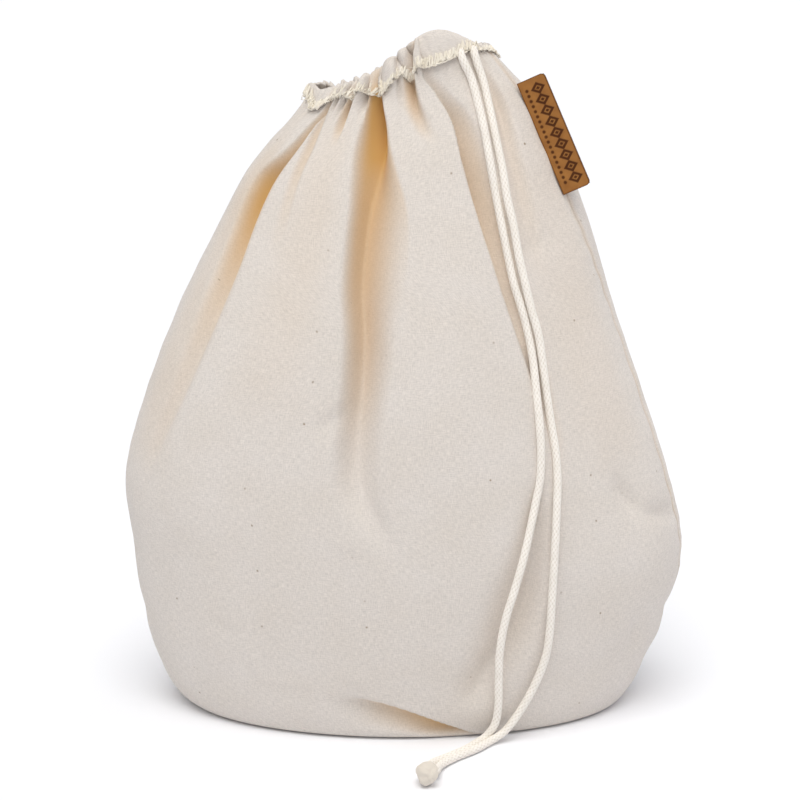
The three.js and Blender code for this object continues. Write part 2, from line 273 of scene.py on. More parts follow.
@dataclass(frozen=True)
class Dent:
    """A soft hollow of the taut cloth, or a swell where its depth is negative.

    Attributes:
        bearing: Bearing of its middle.
        station: Station of its middle.
        width: Degrees over which it fades.
        height: Stations over which it fades.
        depth: Depth of its middle.
    """

    bearing: float
    station: float
    width: float
    height: float
    depth: float


DENTS = (
    Dent(64.0, 6.4, 9.0, 1.5, 0.8),
    Dent(102.0, 6.6, 7.0, 1.7, -0.7),
    Dent(102.0, 8.4, 6.0, 1.3, 0.5),
    Dent(56.0, 8.6, 16.0, 1.6, 0.6),
    Dent(134.0, 5.4, 9.0, 1.8, 1.1),
    Dent(146.0, 7.0, 6.0, 0.5, 1.4),
    Dent(152.0, 8.0, 8.0, 1.0, -0.8),
    Dent(150.0, 9.3, 5.0, 0.6, 1.2),
    Dent(128.0, 8.9, 7.0, 1.2, 0.8),
    Dent(30.0, 8.8, 9.0, 0.7, 0.8),
    Dent(250.0, 7.4, 18.0, 1.8, 1.4),
    Dent(300.0, 8.6, 20.0, 1.6, 1.2),
)


@dataclass(frozen=True)
class Crease:
    """A faint straight crease left in the cloth, soft across, and raised where its depth is negative.

    Attributes:
        start: Bearing and station of its start.
        stop: Bearing and station of its end.
        width: Distance over which it fades to each side.
        depth: Its depth.
    """

    start: tuple[float, float]
    stop: tuple[float, float]
    width: float
    depth: float


CREASES = (
    Crease((44.0, 8.8), (52.0, 9.1), 2.4, 0.72),
    Crease((53.0, 9.1), (57.5, 10.0), 2.2, -0.63),
    Crease((57.0, 9.95), (68.0, 9.88), 1.8, -0.54),
    Crease((76.0, 9.62), (82.0, 9.76), 2.0, -0.54),
    Crease((75.0, 7.38), (83.0, 7.5), 2.2, -0.54),
    Crease((18.0, 7.35), (28.0, 6.8), 2.6, 0.90),
    Crease((142.0, 6.8), (149.0, 7.3), 3.4, 1.9),
    Crease((149.0, 7.3), (168.0, 7.46), 3.0, 2.2),
    Crease((72.5, 6.1), (80.0, 5.87), 2.6, 1.5),
    Crease((147.0, 9.0), (153.0, 9.7), 2.6, 1.26),
    Crease((138.0, 9.6), (146.0, 10.0), 2.4, 0.72),
    Crease((120.0, 9.2), (131.0, 9.5), 2.6, -0.63),
    Crease((128.0, 4.2), (146.0, 4.0), 2.4, 0.63),
    Crease((230.0, 8.2), (246.0, 8.7), 2.8, 0.90),
    Crease((281.0, 7.2), (290.0, 8.3), 2.6, -0.72),
    Crease((318.0, 9.2), (332.0, 8.8), 2.4, 0.90),
)
CREASE_ENDS = (-0.15, 0.35, 0.65, 1.15)  # shares of its length where it sets in, is full, ebbs, ends
MM_PER_STEP = np.array([1.5, 26.0])  # for a degree of bearing and for a station, on average


def smooth(value: Array, start: Any, stop: Any) -> Array:
    """Smooth step between two values.

    Args:
        value: What is compared.
        start: Where the step is still 0.
        stop: Where the step has come to 1.

    Returns:
        Shares from 0 to 1.
    """
    share = np.clip((value - start) / (stop - start), 0.0, 1.0)
    return share * share * (3.0 - 2.0 * share)


def window(value: Array, opens: Any, full: Any, ebbs: Any, shut: Any) -> Array:
    """Smooth rise from 0 to 1 and back.

    Args:
        value: What is compared.
        opens: Where it is still 0.
        full: Where it has come to 1.
        ebbs: Where it starts to fall.
        shut: Where it is 0 again.

    Returns:
        Shares from 0 to 1.
    """
    return smooth(value, opens, full) * (1.0 - smooth(value, ebbs, shut))


def along(stations: Row, values: Row | float, station: Array) -> Array:
    """Value at a station, on a smooth curve through values that belong to stations.

    Args:
        stations: The stations.
        values: The value at each of them, or one value for all.
        station: Where the value is wanted.

    Returns:
        The values on the curve, which ends level.
    """
    if isinstance(values, float):
        return np.full_like(station, values)
    x = np.asarray(stations, dtype=float)
    y = np.asarray(values, dtype=float)
    slope = np.gradient(y, x)
    slope[[0, -1]] = 0.0
    s = np.clip(station, x[0], x[-1])
    i = np.clip(np.searchsorted(x, s) - 1, 0, len(x) - 2)
    span = x[i + 1] - x[i]
    t = (s - x[i]) / span
    rest = 1.0 - t
    near = rest * rest * ((1.0 + 2.0 * t) * y[i] + t * span * slope[i])
    return near + t * t * ((3.0 - 2.0 * t) * y[i + 1] - rest * span * slope[i + 1])


def unit(vectors: Array) -> Array:
    """Vectors of length one, along the last axis."""
    return vectors / np.maximum(np.linalg.norm(vectors, axis=-1, keepdims=True), 1e-9)


@dataclass(frozen=True)
class PaintedShadeTint:
    """Painted shade, warmer and darker than the cloth, in folds and under the tuck at the foot.

    Attributes:
        deepest: Depth of a fold that has the full tint.
        crisp: Share of the tint that stops short at an edge that hangs over.
        lean: How far an edge hangs over that is fully crisp.
        short: Share of the reach in which it stops there.
        near_wall: Share of the wall at which the tint is full, on the edge's side.
        far_wall: The same on the soft side.
        hem_share: Share of the tint that is left on the casing.
        hem: Stations between which it comes back.
        tuck: Strength of the painted shade under the tuck at the foot.
        tuck_run: Bearings between which that sets in.
    """

    deepest: float = 12.0
    crisp: float = 0.4
    lean: float = 3.0
    short: float = 0.07
    near_wall: float = 1.1
    far_wall: float = 0.7
    hem_share: float = 0.35
    hem: tuple[float, float] = (0.6, 1.3)
    tuck: float = 0.85
    tuck_run: tuple[float, float] = (74.0, 102.0)


@dataclass(frozen=True)
class Crown:
    """Peak of the rim, right of the middle.

    Attributes:
        height: Height of the peak.
        x: Place of the peak.
        half: Half its width.
        fade: Station by which it is gone.
    """

    height: float = 9.2
    x: float = 11.8
    half: float = 21.0
    fade: float = 1.6


@dataclass(frozen=True)
class Sag:
    """How much lower the back of the rim hangs.

    Attributes:
        depth: How much lower the back is than the front.
        fade: Station by which that is gone.
    """

    depth: float = 5.0
    fade: float = 3.0


@dataclass(frozen=True)
class Ruffle:
    """Tight gathers of the casing, by their count round the mouth.

    Attributes:
        height: How strong the puffs are.
        count: Puffs round the mouth.
        wander: How unevenly they are spaced.
        waves: How often the spacing swings round the mouth.
        lean_at: Bearings of the values in lean.
        lean: How much the puffs slant there.
        weak: Share of them that is left outside the zones.
        uneven: How much their height varies.
        ends: Stations between which they fade out.
        mean: Mean of the puffs, taken off so that they go out and in.
        beats: Count and shift of one wave of their height, and count of the other.
        zones: Bearings at which a tight stretch sets in, is full, ebbs and ends.
    """

    height: float = 2.0
    count: int = 56
    wander: float = 2.1
    waves: int = 7
    lean_at: Row = (40.0, 70.0, 82.0, 96.0, 106.0, 180.0)
    lean: Row = (1.6, 1.6, -0.5, -6.0, -6.0, 1.6)
    weak: float = 0.1
    uneven: float = 0.45
    ends: tuple[float, float] = (0.9, 1.8)
    mean: float = 1.27
    beats: Three = (5.0, 2.0, 13.0)
    zones: tuple[Row, ...] = ((48.0, 53.0, 97.0, 102.0), (190.0, 200.0, 324.0, 334.0))


@dataclass(frozen=True)
class Tuck:
    """Tuck at the foot of the front, whose lip comes down from left to right.

    Attributes:
        left: Bearing from which the lip comes down.
        right: Bearing at which it is lowest.
        lip: Station of the lip on the left.
        drop: Stations that it comes down.
        bow: How bowed it is.
        depth: Depth of the tuck.
        deepest: Stations from the lip to the deepest place.
        run: Stations from the lip to the end of the tuck.
        sides: Bearings at which it sets in, is full, ebbs and ends.
        lean: How far the lip hangs over.
        lip_run: Stations from the lip at which that sets in, is full and ebbs.
        floor_fade: Stations above the floor in which the tuck ends.
    """

    left: float = 78.0
    right: float = 112.0
    lip: float = 10.05
    drop: float = 1.62
    bow: float = 1.7
    depth: float = 4.2
    deepest: float = 0.3
    run: float = 1.2
    sides: Row = (70.0, 86.0, 107.0, 112.0)
    lean: float = 3.0
    lip_run: Three = (-0.7, -0.05, 0.4)
    floor_fade: float = 0.7


@dataclass(frozen=True)
class Ripple:
    """Low waves of the taut cloth, by their counts round the bag.

    Attributes:
        height: Height of the broad waves.
        broad: Count of the broad waves.
        fine: Count of the fine waves.
        fine_share: Height of the fine waves, as a share of the broad ones.
        slants: How much the broad and the fine waves slant.
        beat: How often the broad waves swell down the bag, and their shift.
        late: Shift of the fine waves.
        run: Stations at which all unevenness sets in, is full, ebbs and ends.
    """

    height: float = 0.18
    broad: float = 9.0
    fine: float = 17.0
    fine_share: float = 0.6
    slants: tuple[float, float] = (1.3, 0.8)
    beat: tuple[float, float] = (0.9, 0.7)
    late: float = 1.0
    run: Row = (1.5, 4.0, 10.0, 11.6)


@dataclass(frozen=True)
class Hem:
    """Casing turned to the outside: how far its layers lie out, where its edge comes to, how it hangs.

    Attributes:
        inner: How far the inner layer stands out.
        inner_end: Stations between which that ends.
        gap: Gap between the layers.
        belly: How much the outer layer bulges.
        flare: How far its lower edge stands off.
        bearings: Bearings of the values in edges.
        edges: Stations of the lower edge there.
        level: Station at which a column's bearing is taken for its edge.
        least: Share of the fullness that is left at the seams.
        full_before: Bearings at which the front gets full, is full, ebbs and ends.
        full_behind: The same for the back.
        dip: How far the left of the rim is down in front.
        dip_run: Bearings at which that sets in, is full, ebbs and ends.
        drop: How far the left of the rim is down behind.
        drop_run: Bearings at which that sets in, is full, ebbs and ends.
        shift_fade: Station by which both are gone.
    """

    inner: float = 0.8
    inner_end: tuple[float, float] = (0.8, 1.5)
    gap: float = 0.7
    belly: float = 0.7
    flare: float = 0.25
    bearings: Row = (
        -20.0, 0.0, 12.0, 22.0, 31.0, 37.0, 43.0, 48.0, 57.0, 63.0, 67.0, 73.5, 78.0, 80.5,
        85.0, 88.0, 92.5, 96.5, 100.0, 108.0, 116.0, 124.0, 137.0, 158.0, 176.0, 192.0, 340.0, 352.0,
    )
    edges: Row = (
        0.7, 0.6, 0.62, 0.8, 1.1, 1.22, 1.2, 0.72, 0.8, 1.04, 0.8, 1.0, 1.12, 0.98,
        1.16, 0.86, 0.86, 1.08, 0.84, 0.98, 0.92, 0.78, 0.44, 0.3, 0.55, 1.0, 1.0, 0.7,
    )
    level: float = 0.8
    least: float = 0.3
    full_before: Row = (22.0, 48.0, 140.0, 168.0)
    full_behind: Row = (186.0, 200.0, 318.0, 334.0)
    dip: float = 3.8
    dip_run: Row = (12.0, 34.0, 62.0, 80.0)
    drop: float = 1.6
    drop_run: Row = (270.0, 295.0, 320.0, 334.0)
    shift_fade: float = 1.6


@dataclass
class BagForm:
    """Outer surface of the bag, by the bearing round it and the station down it."""

    crown: Crown = Crown()
    sag: Sag = Sag()
    ruffle: Ruffle = Ruffle()
    tuck: Tuck = Tuck()
    ripple: Ripple = Ripple()
    hem: Hem = Hem()
    tint: PaintedShadeTint = PaintedShadeTint()

    def level(self, column: str, station: Array) -> Array:
        """Column of the level table on a smooth curve through its rows.

        Args:
            column: Name of the column.
            station: Stations down the bag.

        Returns:
            The column's values there.
        """
        rows = COLUMNS[column]
        row = np.minimum(np.floor(station).astype(int), LAST_LEVEL - 1)
        part = station - row
        a, b, c, d = (rows[np.clip(row + step, 0, LAST_LEVEL)] for step in (-1, 0, 1, 2))
        cubic = 2.0 * a - 5.0 * b + 4.0 * c - d + part * (3.0 * (b - c) + d - a)
        return b + 0.5 * part * (c - a + part * cubic)

    def filled(self, bearing: Array, station: Array) -> Array:
        """Points of the bag without its folds.

        Args:
            bearing: Degrees round the bag.
            station: Stations down it.

        Returns:
            Points in millimetres.
        """
        angle = np.radians(bearing)
        left, right = self.level("left", station), self.level("right", station)
        front, back = self.level("front", station), self.level("back", station)
        x = (right - left) / 2.0 - (right + left) / 2.0 * np.cos(angle)
        y = (back - front) / 2.0 - (back + front) / 2.0 * np.sin(angle)
        aside = np.clip((x - self.crown.x) / self.crown.half, -1.0, 1.0)
        peak = self.crown.height * np.clip(1.0 - station / self.crown.fade, 0.0, 1.0)
        peak = peak * 0.5 * (1.0 + np.cos(np.pi * aside))
        sag = self.sag.depth * (1.0 - np.sin(angle)) / 2.0
        sag = sag * np.clip(1.0 - station / self.sag.fade, 0.0, 1.0)
        z = self.level("z", station) + self.level("tilt", station) * x + peak - sag
        return np.stack([x, y, np.maximum(z, 0.0)], axis=-1)

    def axes(self, bearing: Array, station: Array) -> tuple[Array, Array, Array]:
        """Directions of the bag without its folds.

        Args:
            bearing: Degrees round the bag.
            station: Stations down it.

        Returns:
            Unit vectors outwards, round the bag and down it.
        """
        turn, step = 0.5, 0.02
        above = self.filled(bearing, np.maximum(station - step, 0.0))
        down = unit(self.filled(bearing, np.minimum(station + step, LAST_LEVEL)) - above)
        round_it = unit(self.filled(bearing + turn, station) - self.filled(bearing - turn, station))
        out = unit(np.cross(down, round_it))
        floor = (station >= FLOOR_LEVEL)[..., None]
        return np.where(floor, np.array([0.0, 0.0, -1.0]), out), round_it, down

    def folds(self, bearing: Array, station: Array) -> tuple[Array, Array, Array]:
        """Push of all folds.

        Args:
            bearing: Degrees round the bag.
            station: Stations down it.

        Returns:
            How far the cloth is pushed in, how far it slides round the bag, and the share of painted shade
            in its colour.
        """
        tint = self.tint
        push, slide, painted_shade = (np.zeros_like(station) for _ in range(3))
        for fold in FOLDS:
            reach = along(fold.at, fold.reach, station)
            across = (bearing - along(fold.at, fold.edge, station)) / reach
            trough = along(fold.at, fold.trough, station)
            at_edge = across < trough
            wall = np.where(at_edge, across / trough, (1.0 - across) / (1.0 - trough))
            wall = np.clip(wall, 0.0, 1.0)
            keen = along(fold.at, fold.keen, station)
            shape = (1.0 - keen) * smooth(wall, 0.0, 1.0) + keen * wall**KEEN_POWER
            rim = RIM_SHARE + (1.0 - RIM_SHARE) * smooth(station, 0.0, fold.at[0])
            depth = along(fold.at, fold.depth, station) * rim
            lean = along(fold.at, fold.lean, station)
            push += depth * shape
            slide += lean * rim * (0.5 - shape) * window(across, *LEAN_RUN) * np.sign(reach)
            # Painted shade between the walls: it stops short under an edge that hangs over, and fades
            # softly on the far wall.
            crisp = tint.crisp * np.clip(lean / tint.lean, 0.0, 1.0)
            soft = smooth(wall, 0.0, tint.near_wall)
            shade = crisp * smooth(across, 0.0, tint.short) + (1.0 - crisp) * soft
            shade = np.where(at_edge, shade, smooth(wall, 0.0, tint.far_wall))
            painted_shade += along(fold.at, fold.painted_shade_strength, station) * depth * shade
        on_hem = tint.hem_share + (1.0 - tint.hem_share) * smooth(station, *tint.hem)
        return push, slide, painted_shade * on_hem / tint.deepest

    def foot_tuck(self, bearing: Array, station: Array) -> tuple[Array, Array]:
        """Push of the tuck at the foot of the front.

        Args:
            bearing: Degrees round the bag.
            station: Stations down it.

        Returns:
            How far the cloth is pushed in, and how far it slides down the bag.
        """
        tuck = self.tuck
        across = np.clip((bearing - tuck.left) / (tuck.right - tuck.left), 0.0, 1.0)
        below = station - tuck.lip - tuck.drop * across**tuck.bow
        shape = np.minimum(smooth(below, 0.0, tuck.deepest), 1.0 - smooth(below, tuck.deepest, tuck.run))
        fade = 1.0 - smooth(station, FLOOR_LEVEL - tuck.floor_fade, FLOOR_LEVEL)
        fade = window(bearing, *tuck.sides) * fade
        near = window(below, *tuck.lip_run, tuck.run)
        return tuck.depth * shape * fade, tuck.lean * (0.5 - shape) * near * fade

    def gathers(self, bearing: Array, station: Array) -> Array:
        """Height of the tight gathers round the mouth.

        Args:
            bearing: Degrees round the bag.
            station: Stations down it.

        Returns:
            How far they stand out, or in where it is negative.
        """
        ruffle = self.ruffle
        tight = np.maximum.reduce([window(bearing, *zone) for zone in ruffle.zones])
        angle = np.radians(bearing)
        phase = ruffle.count * angle + ruffle.wander * np.sin(ruffle.waves * angle)
        phase = phase + along(ruffle.lean_at, ruffle.lean, bearing) * station
        puff = 2.0 * np.abs(np.cos(phase / 2.0)) - ruffle.mean
        slow, late, quick = ruffle.beats
        puff = puff * (1.0 + ruffle.uneven * np.sin(slow * angle + late) * np.sin(quick * angle))
        fade = 1.0 - smooth(station, *ruffle.ends)
        return ruffle.height * (ruffle.weak + (1.0 - ruffle.weak) * tight) * puff * fade

    def unevenness(self, bearing: Array, station: Array) -> Array:
        """Soft hollows, swells and faint creases of the taut cloth.

        Args:
            bearing: Degrees round the bag.
            station: Stations down it.

        Returns:
            How far the cloth lies out.
        """
        total = np.zeros_like(station)
        for dent in DENTS:
            aside = (bearing - dent.bearing) / dent.width
            off = (station - dent.station) / dent.height
            total -= dent.depth * np.exp(-aside * aside - off * off)
        for crease in CREASES:
            run = (np.array(crease.stop) - np.array(crease.start)) * MM_PER_STEP
            x = (bearing - crease.start[0]) * MM_PER_STEP[0]
            y = (station - crease.start[1]) * MM_PER_STEP[1]
            length = float(np.hypot(*run))
            on = (x * run[0] + y * run[1]) / length
            off = (x * run[1] - y * run[0]) / length
            ends = window(on, *(share * length for share in CREASE_ENDS))
            total -= crease.depth * ends * np.exp(-((off / crease.width) ** 2))
        angle = np.radians(bearing)
        ripple = self.ripple
        wave = np.sin(ripple.broad * angle + ripple.slants[0] * station)
        wave = wave * np.sin(ripple.beat[0] * station + ripple.beat[1])
        fine = np.sin(ripple.fine * angle - ripple.slants[1] * station + ripple.late)
        wave = wave + ripple.fine_share * fine
        return (total + ripple.height * wave) * window(station, *ripple.run)

    def fullness(self, bearing: Array) -> Array:
        """How full the casing stands at a bearing, less at the seams."""
        front = window(bearing, *self.hem.full_before)
        rear = window(bearing, *self.hem.full_behind)
        return self.hem.least + (1.0 - self.hem.least) * np.maximum(front, rear)

    def rim_shift(self, bearing: Array, station: Array) -> Array:
        """How far the left of the rim is moved, down more in front than behind, so that the mouth shows."""
        front = self.hem.dip * window(bearing, *self.hem.dip_run)
        rear = self.hem.drop * window(bearing, *self.hem.drop_run)
        return (-rear - front) * (1.0 - smooth(station, 0.0, self.hem.shift_fade))

    def hem_edge(self, bearing: Array) -> Array:
        """Station of the casing's lower edge at a bearing."""
        return np.interp(bearing, self.hem.bearings, self.hem.edges)

    def cloth(self, bearing: Array, station: Array, lift: Array) -> tuple[Array, Array, Array]:
        """Points of the folded cloth.

        Args:
            bearing: Degrees round the bag.
            station: Stations down it.
            lift: How far the layer lies outside the body of the bag.

        Returns:
            Points in millimetres, their outward directions, and the share of painted shade in their colour,
            from 0 to 1.
        """
        out, round_it, down = self.axes(bearing, station)
        pushed, slid, painted_shade = self.folds(bearing, station)
        tucked, dropped = self.foot_tuck(bearing, station)
        full = self.fullness(bearing)
        casing = self.hem.inner * full * (1.0 - smooth(station, *self.hem.inner_end))
        rise = casing + lift * full + self.gathers(bearing, station) + self.unevenness(bearing, station)
        rise = np.where(station >= FLOOR_LEVEL, 0.0, rise - pushed - tucked)
        points = self.filled(bearing, station) + out * rise[..., None]
        points = points + round_it * slid[..., None] + down * dropped[..., None]
        points[..., 2] = np.maximum(points[..., 2] + self.rim_shift(bearing, station), 0.0)
        # Painted shade under the lip of the tuck at the foot.
        painted_shade = painted_shade + self.tint.tuck * smooth(bearing, *self.tint.tuck_run) * tucked / self.tuck.depth
        return points, out, np.clip(painted_shade, 0.0, 1.0)

    def seam(self, station: float) -> Array:
        """Point of the right seam of the bag without its folds, in millimetres."""
        where = np.array([station])
        return self.filled(180.0 - self.level("turn", where), where)[0]


def hex_linear(code: str) -> tuple[float, float, float, float]:
    """Linear colour of an sRGB hex code.

    Args:
        code: Six hex digits after a hash sign.

    Returns:
        Linear red, green, blue and alpha.
    """
    parts = [int(code[i : i + 2], 16) / 255.0 for i in (1, 3, 5)]
    linear = [c / 12.92 if c <= 0.04045 else ((c + 0.055) / 1.055) ** 2.4 for c in parts]
    return (linear[0], linear[1], linear[2], 1.0)


def add_node(tree: Any, kind: str, settings: dict[str, Any] | None = None, **sockets: Any) -> Any:
    """Adds a node to a material.

    Args:
        tree: The material's node tree.
        kind: Blender's name of the node.
        settings: The node's own settings.
        sockets: Values or links of the inputs, by name with underscores, or by place as s0, s1 and on.

    Returns:
        The new node.
    """
    node = tree.nodes.new(kind)
    for name, value in (settings or {}).items():
        setattr(node, name, value)
    for name, value in sockets.items():
        key = int(name[1:]) if name[1:].isdigit() else name.replace("_", " ")
        place = node.inputs[key]
        if isinstance(value, bpy.types.NodeSocket):
            tree.links.new(value, place)
        else:
            place.default_value = value
    return node


WAVE_BANDS = 20.0  # radians of a wave texture to a unit of its scale


def wave_scale(pitch: float) -> float:
    """Scale of a wave texture whose bands are this many millimetres apart."""
    return 2.0 * math.pi / (WAVE_BANDS * pitch * MM)


@dataclass(frozen=True)
class Finish:
    """What a piece is made of, as a material of its own."""

    name: str

    def surface(self, tree: Any) -> Any:
        """Adds the nodes of the finish.

        Args:
            tree: The material's node tree.

        Returns:
            The socket that has its surface.
        """
        raise NotImplementedError

    def material(self) -> Any:
        """Builds the material.

        Returns:
            The new material.
        """
        material = bpy.data.materials.new(self.name)
        material.use_nodes = True
        tree = material.node_tree
        tree.nodes.clear()
        output = tree.nodes.new("ShaderNodeOutputMaterial")
        tree.links.new(self.surface(tree), output.inputs["Surface"])
        return material


@dataclass(frozen=True)
class Muslin(Finish):
    """Unbleached cotton muslin: slubby yarn, specks of seed husk, dull and a little see-through.

    The yarns are drawn 0.37 mm apart, about 27 to the centimetre, as in a plain weave of this kind.

    Attributes:
        pale: Its paler shade.
        cream: Its deeper shade.
        fold: Colour of the painted shade in folds, under the tuck and beside the seams.
        husk: Colour of the specks.
        glow: Colour of the light that comes through.
        yarn: Distance between yarns.
        slub: Length of the thick places of a yarn.
        patch: Size of the patches of each shade.
        contrast: Darkest and lightest yarn, as shares of the shade.
        husk_apart: Distance between the places that may have a speck.
        husk_share: Size of a speck, as a share of that distance.
        husk_dark: Strength of the darkest speck.
        no_husk: Share of the places that have none.
        relief: Height of the weave.
        see_through: Share of the light that comes through.
    """

    name: str = "unbleached_cotton_muslin"
    pale: str = "#f0eae5"
    cream: str = "#e8e0d7"
    # Colour of the painted shade in folds.
    fold: str = "#e2b672"
    husk: str = "#8f7350"
    glow: str = "#ecd2a6"
    yarn: float = 0.37
    slub: float = 2.0
    patch: float = 22.0
    contrast: tuple[float, float] = (0.83, 1.11)
    husk_apart: float = 19.0
    husk_share: float = 0.02
    husk_dark: float = 0.85
    no_husk: float = 0.72
    relief: float = 0.12
    see_through: float = 0.12

    def surface(self, tree: Any) -> Any:
        """Adds the nodes of the finish.

        Args:
            tree: The material's node tree.

        Returns:
            The socket that has its surface.
        """
        cloth = add_node(tree, "ShaderNodeUVMap", {"uv_map": "cloth"}).outputs["UV"]
        size = 1.0 / (self.patch * MM)
        patch = add_node(tree, "ShaderNodeTexNoise", Vector=cloth, Scale=size, Detail=3.0)
        tone = add_node(
            tree, "ShaderNodeMix", {"data_type": "RGBA"},
            s0=patch.outputs["Fac"], s6=hex_linear(self.pale), s7=hex_linear(self.cream),
        )
        yarns = []
        for stretch in ((self.yarn, self.slub), (self.slub, self.yarn)):
            wide, tall = (1.0 / (length * MM) for length in stretch)
            place = add_node(tree, "ShaderNodeMapping", Vector=cloth, Scale=(wide, tall, 1.0))
            where = place.outputs["Vector"]
            noise = add_node(tree, "ShaderNodeTexNoise", Vector=where, Scale=1.0, Detail=2.0)
            yarns.append(noise.outputs["Fac"])
        both = add_node(tree, "ShaderNodeMath", {"operation": "ADD"}, s0=yarns[0], s1=yarns[1])
        grain = add_node(
            tree, "ShaderNodeMapRange", Value=both.outputs["Value"],
            From_Min=0.65, From_Max=1.35, To_Min=self.contrast[0], To_Max=self.contrast[1],
        )
        woven = add_node(
            tree, "ShaderNodeMix", {"data_type": "RGBA", "blend_type": "MULTIPLY"},
            s0=1.0, s6=tone.outputs[2], s7=grain.outputs["Result"],
        )
        # Painted shade in folds, under the tuck and beside the seams, mixed in by the share stored on each
        # point.
        depth = add_node(tree, "ShaderNodeAttribute", {"attribute_name": "painted_fold_shade"})
        with_painted_shade = add_node(
            tree, "ShaderNodeMix", {"data_type": "RGBA"},
            s0=depth.outputs["Fac"], s6=woven.outputs[2], s7=hex_linear(self.fold),
        )
        specks = add_node(
            tree, "ShaderNodeTexVoronoi", {"feature": "F1", "voronoi_dimensions": "2D"},
            Vector=cloth, Scale=1.0 / (self.husk_apart * MM), Randomness=1.0,
        )
        small = add_node(
            tree, "ShaderNodeMapRange", Value=specks.outputs["Distance"],
            From_Min=self.husk_share * 1.5, From_Max=self.husk_share * 0.5, To_Max=self.husk_dark,
        )
        parts = add_node(tree, "ShaderNodeSeparateColor", Color=specks.outputs["Color"])
        some = add_node(
            tree, "ShaderNodeMath", {"operation": "GREATER_THAN"},
            s0=parts.outputs["Red"], s1=self.no_husk,
        )
        faint = add_node(
            tree, "ShaderNodeMath", {"operation": "MULTIPLY"},
            s0=some.outputs["Value"], s1=parts.outputs["Green"],
        )
        husks = add_node(
            tree, "ShaderNodeMath", {"operation": "MULTIPLY"},
            s0=small.outputs["Result"], s1=faint.outputs["Value"],
        )
        coloured = add_node(
            tree, "ShaderNodeMix", {"data_type": "RGBA"},
            s0=husks.outputs["Value"], s6=with_painted_shade.outputs[2], s7=hex_linear(self.husk),
        )
        bands = []
        for direction in ("X", "Y"):
            wave = add_node(
                tree, "ShaderNodeTexWave", {"bands_direction": direction},
                Vector=cloth, Scale=wave_scale(self.yarn), Distortion=2.0, Detail=1.0,
            )
            bands.append(wave.outputs["Fac"])
        weave = add_node(tree, "ShaderNodeMath", {"operation": "MULTIPLY"}, s0=bands[0], s1=bands[1])
        height = add_node(
            tree, "ShaderNodeMath", {"operation": "ADD"},
            s0=weave.outputs["Value"], s1=both.outputs["Value"],
        )
        bump = add_node(
            tree, "ShaderNodeBump", Height=height.outputs["Value"], Strength=0.35, Distance=self.relief * MM
        )
        body = add_node(
            tree, "ShaderNodeBsdfPrincipled", Base_Color=coloured.outputs[2], Roughness=0.93,
            Normal=bump.outputs["Normal"], Sheen_Weight=0.12, Sheen_Roughness=0.5, Specular_IOR_Level=0.25,
        )
        through = add_node(
            tree, "ShaderNodeBsdfTranslucent", Color=hex_linear(self.glow), Normal=bump.outputs["Normal"]
        )
        mixed = add_node(
            tree, "ShaderNodeMixShader", Fac=self.see_through,
            s1=body.outputs["BSDF"], s2=through.outputs["BSDF"],
        )
        return mixed.outputs["Shader"]


@dataclass(frozen=True)
class BraidedCotton(Finish):
    """Soft cotton yarn as it is braided into cord or sewn as thread: pale, fuzzy and without gloss.

    Attributes:
        pale: Colour of the yarn.
        deep: Colour of the deeper patches, and of the painted shade between strands.
        fibre: Size of the fibres.
        patch: Size of paler and deeper patches.
        relief: Height of the fibres.
    """

    pale: str = "#fffaf3"
    deep: str = "#dcd3c6"
    fibre: float = 0.35
    patch: float = 6.0
    relief: float = 0.08

    def surface(self, tree: Any) -> Any:
        """Adds the nodes of the finish.

        Args:
            tree: The material's node tree.

        Returns:
            The socket that has its surface.
        """
        where = add_node(tree, "ShaderNodeTexCoord").outputs["Object"]
        fine, coarse = 1.0 / (self.fibre * MM), 1.0 / (self.patch * MM)
        fibres = add_node(tree, "ShaderNodeTexNoise", Vector=where, Scale=fine, Detail=3.0)
        patch = add_node(tree, "ShaderNodeTexNoise", Vector=where, Scale=coarse, Detail=1.0)
        both = add_node(
            tree, "ShaderNodeMath", {"operation": "MULTIPLY"},
            s0=fibres.outputs["Fac"], s1=patch.outputs["Fac"],
        )
        share = add_node(
            tree, "ShaderNodeMapRange", Value=both.outputs["Value"],
            From_Min=0.12, From_Max=0.42, To_Max=0.4,
        )
        # Painted shade between strands, from the share stored on each point, on top of the deeper patches.
        painted_strand_shade = add_node(tree, "ShaderNodeAttribute", {"attribute_name": "painted_strand_shade"})
        patches_and_painted_shade = add_node(
            tree, "ShaderNodeMath", {"operation": "MAXIMUM"},
            s0=share.outputs["Result"], s1=painted_strand_shade.outputs["Fac"],
        )
        tone = add_node(
            tree, "ShaderNodeMix", {"data_type": "RGBA"},
            s0=patches_and_painted_shade.outputs["Value"], s6=hex_linear(self.pale), s7=hex_linear(self.deep),
        )
        bump = add_node(
            tree, "ShaderNodeBump", Height=fibres.outputs["Fac"], Strength=0.3, Distance=self.relief * MM
        )
        body = add_node(
            tree, "ShaderNodeBsdfPrincipled", Base_Color=tone.outputs[2], Roughness=0.9,
            Normal=bump.outputs["Normal"], Sheen_Weight=0.15, Sheen_Roughness=0.5, Specular_IOR_Level=0.2,
        )
        return body.outputs["BSDF"]


